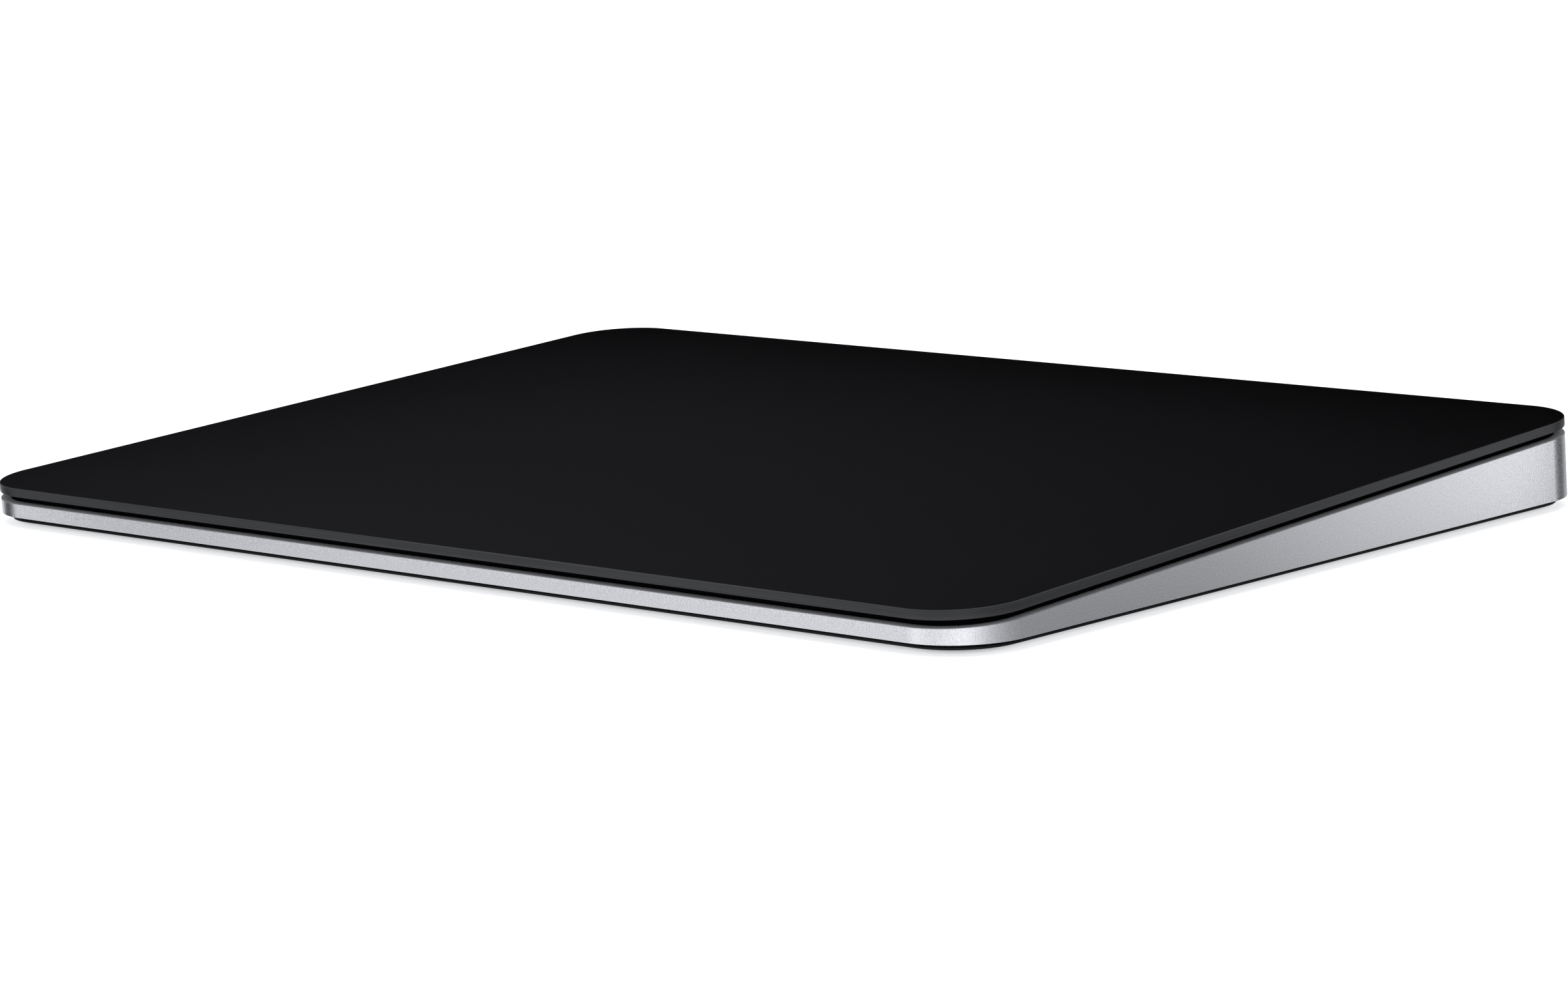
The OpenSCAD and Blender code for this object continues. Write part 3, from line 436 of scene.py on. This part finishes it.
def paint_between(tree, mask, output, dark, light, shader):
    """Base colour that goes from dark to light over a mask."""
    spread = place(tree, "ShaderNodeMapRange", {"From Min": MASK_LOW, "From Max": MASK_HIGH})
    join(tree, mask, output, spread, "Value")
    mix = place(tree, "ShaderNodeMix", {6: (*dark, 1.0), 7: (*light, 1.0)}, data_type="RGBA")
    join(tree, spread, "Result", mix, 0)
    join(tree, mix, 2, shader, "Base Color")


def rough_between(tree, mask, output, low, high, shader):
    """Roughness between low and high over a mask."""
    ends = {"From Min": MASK_LOW, "From Max": MASK_HIGH, "To Min": low, "To Max": high}
    span = place(tree, "ShaderNodeMapRange", ends)
    join(tree, mask, output, span, "Value")
    join(tree, span, "Result", shader, "Roughness")


def bump(tree, mask, output, depth_mm, shader):
    """A bump of that depth on the shader's normal."""
    node = place(tree, "ShaderNodeBump", {"Strength": 1.0, "Distance": depth_mm * MM})
    join(tree, mask, output, node, "Height")
    join(tree, node, "Normal", shader, "Normal")


# Bead blasting leaves fine pits and a slight mottle of the same size
blast_grain, group_in, group_out = new_group("blast_grain", {"Scale": 5000.0}, ["Height", "Mottle"])
pits = noise_on(blast_grain, detail=2.0, roughness=0.5)
join(blast_grain, group_in, "Scale", pits, "Scale")
join(blast_grain, pits, "Fac", group_out, "Height")
mottle = noise_on(blast_grain, detail=1.0, roughness=0.5)
join(blast_grain, group_in, "Scale", mottle, "Scale")
join(blast_grain, mottle, "Fac", group_out, "Mottle")

tray = broken_edges("shell", "tray", edge_mm=0.05, wanted=tray_edge)
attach(tray, "enclosure")
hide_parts("shell")
blasted, tree, shader = new_finish("blasted_aluminium")
shader.inputs["Metallic"].default_value = 1.0
grain = use_group(tree, blast_grain, {"Scale": 8000.0})
paint_between(tree, grain, "Mottle", (0.57, 0.574, 0.59), (0.79, 0.794, 0.81), shader)
rough_between(tree, grain, "Mottle", 0.26, 0.3, shader)
bump(tree, grain, "Height", 0.015, shader)
tray.data.materials.append(blasted)
rim, tree, shader = new_finish("matt_rim")
shader.inputs["Metallic"].default_value = 0.15
grain = use_group(tree, blast_grain, {"Scale": 5000.0})
paint_between(tree, grain, "Mottle", (0.36, 0.367, 0.39), (0.46, 0.467, 0.49), shader)
rough_between(tree, grain, "Mottle", 0.5, 0.6, shader)
bump(tree, grain, "Height", 0.01, shader)
tray.data.materials.append(rim)
for face in tray.data.polygons:
    corners = [on_slope(tray.data.vertices[at].co) for at in face.vertices]
    if all(abs(depth - RIM_DEPTH) < NEAR and inset_of(x, v) < WALL_T + NEAR for x, v, depth in corners):
        face.material_index = 1

# The charge port is a drawn steel receptacle pressed through the back wall, with a moulded tongue inside.
# The tongue's gilt contacts stand a hair proud of its two faces. Shell and tongue sit on a small green
# board, which screws hold to the tray.
TONGUE_HALF = 0.35
PORT_Z = 4.86
CONTACTS = 12
CONTACT_PITCH = 0.5
CONTACT_WIDE = 0.28
CONTACT_PROUD = 0.02
CONTACT_FROM = 51.6
CONTACT_TO = 54.2
CONTACT_BREAK = 0.008
LONG_EDGE = 0.2
ROUGH_SPREAD = 0.06
LINE_DEPTH = 0.002
WEAVE_DEPTH = 0.006


def times(tree, source, output, factor):
    """A value multiplied by a number."""
    node = place(tree, "ShaderNodeMath", {1: factor}, operation="MULTIPLY")
    join(tree, source, output, node, 0)
    return node


# Drawn and rolled metal has fine lines along its length
fine_lines, group_in, group_out = new_group("fine_lines", {"Along": 60.0, "Across": 9000.0}, ["Mask"])
coords = place(fine_lines, "ShaderNodeTexCoord")
level = place(fine_lines, "ShaderNodeMapping", {"Rotation": (-TILT, 0.0, 0.0)})
join(fine_lines, coords, "Object", level, "Vector")
stretch = place(fine_lines, "ShaderNodeCombineXYZ")
join(fine_lines, group_in, "Along", stretch, "X")
join(fine_lines, group_in, "Along", stretch, "Y")
join(fine_lines, group_in, "Across", stretch, "Z")
scaled = place(fine_lines, "ShaderNodeVectorMath", operation="MULTIPLY")
join(fine_lines, level, "Vector", scaled, 0)
join(fine_lines, stretch, "Vector", scaled, 1)
lines = place(fine_lines, "ShaderNodeTexNoise", {"Scale": 1.0, "Detail": 3.0, "Roughness": 0.6})
join(fine_lines, scaled, "Vector", lines, "Vector")
join(fine_lines, lines, "Fac", group_out, "Mask")

# Moulded plastic and rubber have a soft spark-eroded grain, and a tone that drifts over twenty grains
mould_grain, group_in, group_out = new_group("mould_grain", {"Scale": 3000.0}, ["Height", "Tone"])
cells = noise_on(mould_grain, detail=2.0, roughness=0.5)
join(mould_grain, group_in, "Scale", cells, "Scale")
join(mould_grain, cells, "Fac", group_out, "Height")
drift = noise_on(mould_grain, detail=4.0, roughness=0.65)
join(mould_grain, times(mould_grain, group_in, "Scale", 0.05), "Value", drift, "Scale")
join(mould_grain, drift, "Fac", group_out, "Tone")

# Circuit boards show a woven glass cloth under their lacquer, and copper tracks as a lighter tone
board_weave, group_in, group_out = new_group(
    "board_weave", {"Cloth": 2500.0, "Tracks": 700.0}, ["Height", "Track"]
)
coords = place(board_weave, "ShaderNodeTexCoord")
warp = place(board_weave, "ShaderNodeTexWave", {"Distortion": 0.4}, bands_direction="X")
join(board_weave, coords, "Object", warp, "Vector")
join(board_weave, group_in, "Cloth", warp, "Scale")
weft = place(board_weave, "ShaderNodeTexWave", {"Distortion": 0.4}, bands_direction="Y")
join(board_weave, coords, "Object", weft, "Vector")
join(board_weave, group_in, "Cloth", weft, "Scale")
cloth = place(board_weave, "ShaderNodeMath", operation="MULTIPLY")
join(board_weave, warp, "Fac", cloth, 0)
join(board_weave, weft, "Fac", cloth, 1)
join(board_weave, cloth, "Value", group_out, "Height")
track_tones = {"Color1": (1, 1, 1, 1), "Color2": (1, 1, 1, 1), "Mortar": (0, 0, 0, 1)}
tracks = place(board_weave, "ShaderNodeTexBrick", track_tones)
join(board_weave, coords, "Object", tracks, "Vector")
join(board_weave, group_in, "Tracks", tracks, "Scale")
join(board_weave, tracks, "Fac", group_out, "Track")


def lined_metal(name, dark, light, rough, along=60.0, across=9000.0):
    """A bare metal with fine lines along it."""
    material, tree, shader = new_finish(name)
    shader.inputs["Metallic"].default_value = 1.0
    lines = use_group(tree, fine_lines, {"Along": along, "Across": across})
    paint_between(tree, lines, "Mask", dark, light, shader)
    rough_between(tree, lines, "Mask", rough - ROUGH_SPREAD, rough + ROUGH_SPREAD, shader)
    bump(tree, lines, "Mask", LINE_DEPTH, shader)
    return material


def moulded(name, dark, light, rough, depth_mm=0.004, scale=3000.0, gloss=0.5):
    """A plastic or rubber with its moulded grain."""
    material, tree, shader = new_finish(name)
    shader.inputs["Specular IOR Level"].default_value = gloss
    grain = use_group(tree, mould_grain, {"Scale": scale})
    paint_between(tree, grain, "Tone", dark, light, shader)
    rough_between(tree, grain, "Tone", rough - ROUGH_SPREAD, rough + ROUGH_SPREAD, shader)
    bump(tree, grain, "Height", depth_mm, shader)
    return material


def lacquered_board(name, dark, light, rough=0.4, gloss=0.5):
    """A circuit board under lacquer, with its tracks and its cloth."""
    material, tree, shader = new_finish(name)
    shader.inputs["Specular IOR Level"].default_value = gloss
    shader.inputs["Roughness"].default_value = rough
    weave = use_group(tree, board_weave)
    paint_between(tree, weave, "Track", dark, light, shader)
    bump(tree, weave, "Height", WEAVE_DEPTH, shader)
    return material


def dress(node, material, edge_mm):
    """Gives a CAD node its finish, and a small break on its edges."""
    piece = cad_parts[node]
    piece.data.materials.clear()
    piece.data.materials.append(material)
    weld = piece.modifiers.new("weld", "WELD")
    weld.merge_threshold = WELD
    edge = piece.modifiers.new("edge_break", "BEVEL")
    edge.width = edge_mm * MM
    edge.segments = 2
    edge.limit_method = "ANGLE"
    edge.angle_limit = CREASE_TURN
    even = piece.modifiers.new("even_normals", "WEIGHTED_NORMAL")
    even.keep_sharp = True


port = broken_edges("charge_port", "port_shell", edge_mm=0.08)
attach(port, "enclosure")
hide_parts("charge_port")
port_steel = lined_metal("drawn_port_steel", (0.42, 0.42, 0.43), (0.6, 0.6, 0.61), rough=0.3)
port.data.materials.append(port_steel)
tongue = broken_edges("port_tongue", "port_contact_tongue", edge_mm=0.1)
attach(tongue, "enclosure")
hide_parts("port_tongue")
tongue_plastic = moulded("port_tongue_plastic", (0.008, 0.008, 0.009), (0.014, 0.014, 0.015), rough=0.45)
tongue.data.materials.append(tongue_plastic)
bm = bmesh.new()
strip_size = Vector((CONTACT_WIDE, CONTACT_TO - CONTACT_FROM, 2 * CONTACT_PROUD)) * MM
for number in range(CONTACTS):
    x = (number - (CONTACTS - 1) / 2) * CONTACT_PITCH
    for side in (-1, 1):
        middle = Vector((x, (CONTACT_FROM + CONTACT_TO) / 2, PORT_Z + side * TONGUE_HALF)) * MM
        strip = bmesh.ops.create_cube(bm, size=1.0, matrix=Matrix.LocRotScale(middle, None, strip_size))
        own_edges = [edge for edge in bm.edges if edge.verts[0] in strip["verts"]]
        long_edges = [edge for edge in own_edges if edge.calc_length() > LONG_EDGE * MM]
        bmesh.ops.bevel(
            bm, geom=long_edges, offset=CONTACT_BREAK * MM, segments=2, affect="EDGES", clamp_overlap=True
        )
contacts = finished_piece("port_contacts", bm)
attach(contacts, "enclosure")
gilt = lined_metal("gilt_contacts", (0.62, 0.42, 0.14), (0.78, 0.55, 0.22), rough=0.25)
contacts.data.materials.append(gilt)
green_lacquer = lacquered_board("green_lacquered_board", (0.006, 0.05, 0.026), (0.014, 0.09, 0.045))
screw_steel = lined_metal("blackened_screw_steel", (0.12, 0.12, 0.125), (0.2, 0.2, 0.21), rough=0.4)
dress("port_board", green_lacquer, edge_mm=0.04)
dress("port_screws", screw_steel, edge_mm=0.03)

# The power switch has a blasted metal knob that slides in a slot of the back wall, on an apron behind it.
# A green plastic flag beside the knob shows in the slot when it is on. The switch body and its holder are
# moulded, and screws hold them to the tray.
knob = broken_edges("switch_knob", "power_knob", edge_mm=0.06)
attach(knob, "power_switch")
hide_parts("switch_knob")
knob.data.materials.append(blasted)
on_flag = broken_edges("switch_flag", "power_flag", edge_mm=0.03)
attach(on_flag, "power_switch")
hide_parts("switch_flag")
flag_plastic = moulded("flag_green_plastic", (0.01, 0.3, 0.06), (0.02, 0.4, 0.09), rough=0.4)
on_flag.data.materials.append(flag_plastic)
dark_plastic = moulded("dark_plastic", (0.012, 0.012, 0.014), (0.022, 0.022, 0.024), rough=0.5)
dress("switch_body", dark_plastic, edge_mm=0.08)
dress("switch_holder", dark_plastic, edge_mm=0.08)
dress("holder_screws", screw_steel, edge_mm=0.03)

# The antenna is a track of etched foil on a moulded carrier, which sits over a slot in the tray floor.
# A thin coax in a black jacket runs from it to the radio.
foil = lined_metal("etched_foil", (0.5, 0.44, 0.36), (0.66, 0.6, 0.5), rough=0.35)
dress("antenna_carrier", dark_plastic, edge_mm=0.06)
dress("antenna_foil", foil, edge_mm=0.01)
dress("antenna_coax", dark_plastic, edge_mm=0.02)

# The logic board is lacquered glass cloth with copper tracks, held to the tray by screws.
# Soldered on it are the processor and charger in black resin, a steel can over the radio, and a pale
# moulded socket for the ribbons.
chip_resin = moulded("chip_resin", (0.008, 0.008, 0.009), (0.016, 0.016, 0.017), rough=0.55)
stamped = lined_metal("stamped_spring_steel", (0.45, 0.45, 0.46), (0.6, 0.6, 0.61), rough=0.35)
socket_plastic = moulded("socket_plastic", (0.55, 0.53, 0.47), (0.66, 0.64, 0.58), rough=0.5)
dress("logic_board", green_lacquer, edge_mm=0.04)
dress("logic_chips", chip_resin, edge_mm=0.05)
dress("shield_can", stamped, edge_mm=0.08)
dress("logic_socket", socket_plastic, edge_mm=0.05)
dress("logic_screws", screw_steel, edge_mm=0.03)

# The battery is a flat cell in a crinkled foil pouch, held to the tray floor by two strips of tape.
# A small guard board at its end, two jacketed wires and a plug join it to the logic board.

# One soft, bent noise gives the pouch its crinkles and, much wider, the glass the marks of hands
soft_marks, group_in, group_out = new_group("soft_marks", {"Scale": 60.0}, ["Mask"])
marks = noise_on(soft_marks, detail=4.0, roughness=0.6)
marks.inputs["Distortion"].default_value = 0.8
join(soft_marks, group_in, "Scale", marks, "Scale")
join(soft_marks, marks, "Fac", group_out, "Mask")
pouch, tree, shader = new_finish("crinkled_pouch_foil")
shader.inputs["Metallic"].default_value = 0.9
crinkle = use_group(tree, soft_marks, {"Scale": 400.0})
paint_between(tree, crinkle, "Mask", (0.5, 0.5, 0.51), (0.62, 0.62, 0.63), shader)
rough_between(tree, crinkle, "Mask", 0.3, 0.45, shader)
bump(tree, crinkle, "Mask", 0.05, shader)
tape_paper = moulded("tape_paper", (0.62, 0.61, 0.58), (0.72, 0.71, 0.68), rough=0.7)
wire_jacket = moulded("red_wire_jacket", (0.3, 0.01, 0.01), (0.42, 0.02, 0.02), rough=0.45)
dress("battery_cell", pouch, edge_mm=0.6)
dress("battery_tape", tape_paper, edge_mm=0.01)
dress("battery_guard", green_lacquer, edge_mm=0.04)
dress("battery_wires", wire_jacket, edge_mm=0.03)
dress("battery_plug", socket_plastic, edge_mm=0.06)

# The haptic drive has three coils of lacquered copper wire on an iron core, stacked from thin sheets.
# A bent steel bracket holds the core, and screws hold the bracket to the tray. The iron armature that the
# coils pull is fixed under the plate.
iron = lined_metal(
    "stacked_core_iron", (0.2, 0.2, 0.2), (0.32, 0.32, 0.33), rough=0.45, along=30.0, across=4000.0
)
coil_wire, tree, shader = new_finish("lacquered_copper_wire")
shader.inputs["Metallic"].default_value = 1.0
turns = use_group(tree, fine_lines, {"Along": 40.0, "Across": 7000.0})
paint_between(tree, turns, "Mask", (0.45, 0.16, 0.06), (0.72, 0.3, 0.13), shader)
rough_between(tree, turns, "Mask", 0.25, 0.4, shader)
bump(tree, turns, "Mask", 0.03, shader)
dress("haptic_bracket", stamped, edge_mm=0.06)
dress("haptic_core", iron, edge_mm=0.05)
dress("haptic_coils", coil_wire, edge_mm=0.15)
dress("haptic_screws", screw_steel, edge_mm=0.03)
dress("armature", iron, edge_mm=0.05)

# Four arms of stamped spring steel carry the plate, each held to a boss of the tray by a screw.
# Each has a foil strain gauge on its neck and a steel seat riveted to its free end, with a pad of clear gel
# between the seat and the plate.
gel, tree, shader = new_finish("clear_gel")
shader.inputs["Subsurface Weight"].default_value = 0.3
shader.inputs["Subsurface Scale"].default_value = 0.0005
soft = use_group(tree, mould_grain, {"Scale": 1500.0})
paint_between(tree, soft, "Tone", (0.35, 0.36, 0.4), (0.45, 0.46, 0.5), shader)
rough_between(tree, soft, "Tone", 0.2, 0.3, shader)
bump(tree, soft, "Height", 0.004, shader)
dress("spring_arms", stamped, edge_mm=0.04)
dress("strain_gauges", foil, edge_mm=0.01)
dress("arm_screws", screw_steel, edge_mm=0.03)
dress("load_seats", stamped, edge_mm=0.03)
dress("gel_pads", gel, edge_mm=0.08)

# The ribbon circuits are amber film with copper lines, lying on the tray floor and folded up at their ends.
# The one to the sensor board hangs in a loose step between two sockets, and its front end goes down with
# the plate.
CUT_FROM = 4.8
CUT_STEP = 0.6
CUTS = 20
ribbon, tree, shader = new_finish("amber_ribbon_film")
shader.inputs["Roughness"].default_value = 0.3
copper_lines = use_group(tree, board_weave, {"Cloth": 3000.0, "Tracks": 1500.0})
paint_between(tree, copper_lines, "Track", (0.36, 0.14, 0.025), (0.5, 0.22, 0.05), shader)
bump(tree, copper_lines, "Height", 0.004, shader)


def cut_across(bm):
    """Cuts the touch ribbon across its length, so that it can bend."""
    for step in range(CUTS):
        y = CUT_FROM + CUT_STEP * step
        cut = bm.verts[:] + bm.edges[:] + bm.faces[:]
        bmesh.ops.bisect_plane(bm, geom=cut, plane_co=(0.0, y * MM, 0.0), plane_no=(0.0, 1.0, 0.0))


touch_strip = broken_edges("touch_ribbon", "touch_ribbon_strip", edge_mm=0.01, shape=cut_across)
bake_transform(touch_strip)
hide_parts("touch_ribbon")
touch_strip.data.materials.append(ribbon)
dress("gauge_ribbons", ribbon, edge_mm=0.01)
dress("rear_ribbon", ribbon, edge_mm=0.01)

# Under the glass, a black film bonds it to the black sensor board with its chips and its socket, and a steel
# plate below stiffens both. The board's edge shows as the black line in the gap under the glass.
black_lacquer = lacquered_board(
    "black_lacquered_board", (0.001, 0.001, 0.0011), (0.002, 0.002, 0.0022), rough=0.7, gloss=0.05
)
bond_film = moulded("black_bond_film", (0.001, 0.001, 0.001), (0.002, 0.002, 0.002), rough=0.7, gloss=0.05)
dress("sensor_board", black_lacquer, edge_mm=0.04)
dress("touch_chips", chip_resin, edge_mm=0.04)
dress("touch_socket", socket_plastic, edge_mm=0.04)
dress("stiffener", stamped, edge_mm=0.04)
dress("glass_film", bond_film, edge_mm=0.01)

# The touch plate's glass is one sheet with an etched, satin face and finely ground edges.
# Its back is printed black, so the sheet looks black right through. Hands leave faint marks on its face,
# which only change how rough it is and a little of its tone.
GLASS_T = 1.1
GLASS_BREAK = 0.1
CORNER_STEPS = 40
BREAK_STEPS = 4


def slope_point(x, v, depth):
    """A place on the slope, in mm, as a point of the row frame."""
    y = SLOPE_Y + v * math.cos(TILT) + depth * math.sin(TILT)
    z = SLOPE_Z + v * math.sin(TILT) - depth * math.cos(TILT)
    return Vector((x, y, z)) * MM


def outline(inset):
    """The pad's outline drawn in by inset, as (x, v) places, anticlockwise."""
    radius = CORNER_R - inset
    places = []
    for quarter, (side_x, side_v) in enumerate(((1, 1), (-1, 1), (-1, -1), (1, -1))):
        for step in range(CORNER_STEPS + 1):
            angle = math.radians(90.0 * (quarter + step / CORNER_STEPS))
            x = side_x * (PAD_W / 2 - CORNER_R) + radius * math.cos(angle)
            v = side_v * (PAD_D / 2 - CORNER_R) + radius * math.sin(angle)
            places.append((x, v))
    return places


def round_break(radius):
    """Profile places of (inset, depth) round the upper edge of a sheet."""
    places = []
    for step in range(BREAK_STEPS + 1):
        angle = math.radians(90.0 * step / BREAK_STEPS)
        places.append((radius * (1 - math.sin(angle)), radius * (1 - math.cos(angle))))
    return places


def ground_glass(name, dark, light):
    """Glass that a wheel has ground along its edge, which leaves fine streaks."""
    material, tree, shader = new_finish(name)
    shader.inputs["Specular IOR Level"].default_value = 0.3
    shader.inputs["IOR"].default_value = 1.52
    streaks = use_group(tree, fine_lines, {"Along": 25.0, "Across": 7000.0})
    paint_between(tree, streaks, "Mask", dark, light, shader)
    rough_between(tree, streaks, "Mask", 0.34, 0.44, shader)
    bump(tree, streaks, "Mask", 0.006, shader)
    return material


satin, tree, shader = new_finish("satin_black_glass")
shader.inputs["IOR"].default_value = 1.5
marks = use_group(tree, soft_marks, {"Scale": 45.0})
paint_between(tree, marks, "Mask", (0.0012, 0.0012, 0.0013), (0.0018, 0.0018, 0.002), shader)
rough_between(tree, marks, "Mask", 0.15, 0.17, shader)
ground_edge = ground_glass("ground_glass_edge", (0.011, 0.0114, 0.0126), (0.026, 0.0268, 0.0293))
# The upper arris gets a lighter copy of the ground edge's finish: a painted highlight along the glass's top
# edge
arris_highlight_paint = ground_glass("glass_arris_painted_highlight", (0.032, 0.033, 0.036), (0.052, 0.053, 0.057))
glass_finishes = [satin, ground_edge, arris_highlight_paint]
glass_profile = round_break(GLASS_BREAK)
glass_profile += [(inset, GLASS_T - depth) for inset, depth in reversed(glass_profile)]
bm = bmesh.new()
rings = [
    [bm.verts.new(slope_point(x, v, depth)) for x, v in outline(inset)]
    for inset, depth in glass_profile
]
# The faces round the upper break take the painted highlight, and the rest of the side takes the plain ground
# edge
for number, (upper, lower) in enumerate(zip(rings, rings[1:])):
    for at in range(len(upper)):
        after = (at + 1) % len(upper)
        wall = bm.faces.new((upper[at], lower[at], lower[after], upper[after]))
        wall.material_index = glass_finishes.index(arris_highlight_paint if number < BREAK_STEPS else ground_edge)
bm.faces.new(rings[0])
bm.faces.new(list(reversed(rings[-1])))
glass = finished_piece("touch_glass_sheet", bm)
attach(glass, "touch_plate")
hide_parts("touch_glass")
for finish in glass_finishes:
    glass.data.materials.append(finish)

# The base is a black moulded cover, bonded under the tray by a sheet, a little inside the tray's outline.
# Its side slopes back above a thin lip, which leaves a black shadow line under the tray, and four rubber
# feet sit in pockets in its underside.
LIP_Z = 0.73
COVER_TOP = 1.08
COVER_SLOPE = 1.2


def slope_back(bm):
    """Leaves a lip round the cover's foot and slopes its side back above, into the shadow of the tray."""
    cut = bm.verts[:] + bm.edges[:] + bm.faces[:]
    bmesh.ops.bisect_plane(bm, geom=cut, plane_co=(0.0, 0.0, LIP_Z * MM), plane_no=(0.0, 0.0, 1.0))
    half_x = PAD_W / 2 - CORNER_R
    half_y = PAD_D / math.cos(TILT) / 2 - CORNER_R
    for vert in bm.verts:
        if vert.co.z > (COVER_TOP - NEAR) * MM:
            x = vert.co.x / MM
            y = vert.co.y / MM - BASE_Y
            past_x = math.copysign(max(abs(x) - half_x, 0.0), x)
            past_y = math.copysign(max(abs(y) - half_y, 0.0), y)
            out = Vector((past_x, past_y, 0.0))
            if out.length > 0.0:
                vert.co -= out.normalized() * COVER_SLOPE * MM


bond_sheet = moulded("black_bond_sheet", (0.002, 0.002, 0.002), (0.004, 0.004, 0.004), rough=0.7)
dress("base_bond", bond_sheet, edge_mm=0.02)
cover = broken_edges("base_cover", "base_cover_sheet", edge_mm=0.06, shape=slope_back)
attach(cover, "enclosure")
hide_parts("base_cover")
cover_plastic = moulded(
    "black_cover_plastic", (0.004, 0.004, 0.005), (0.008, 0.008, 0.0095), rough=0.6, gloss=0.15
)
cover.data.materials.append(cover_plastic)
foot_pads = broken_edges("feet", "foot_pads", edge_mm=0.06)
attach(foot_pads, "enclosure")
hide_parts("feet")
foot_rubber = moulded(
    "foot_rubber", (0.02, 0.02, 0.022), (0.035, 0.035, 0.037), rough=0.75, depth_mm=0.01, scale=5000.0
)
foot_pads.data.materials.append(foot_rubber)
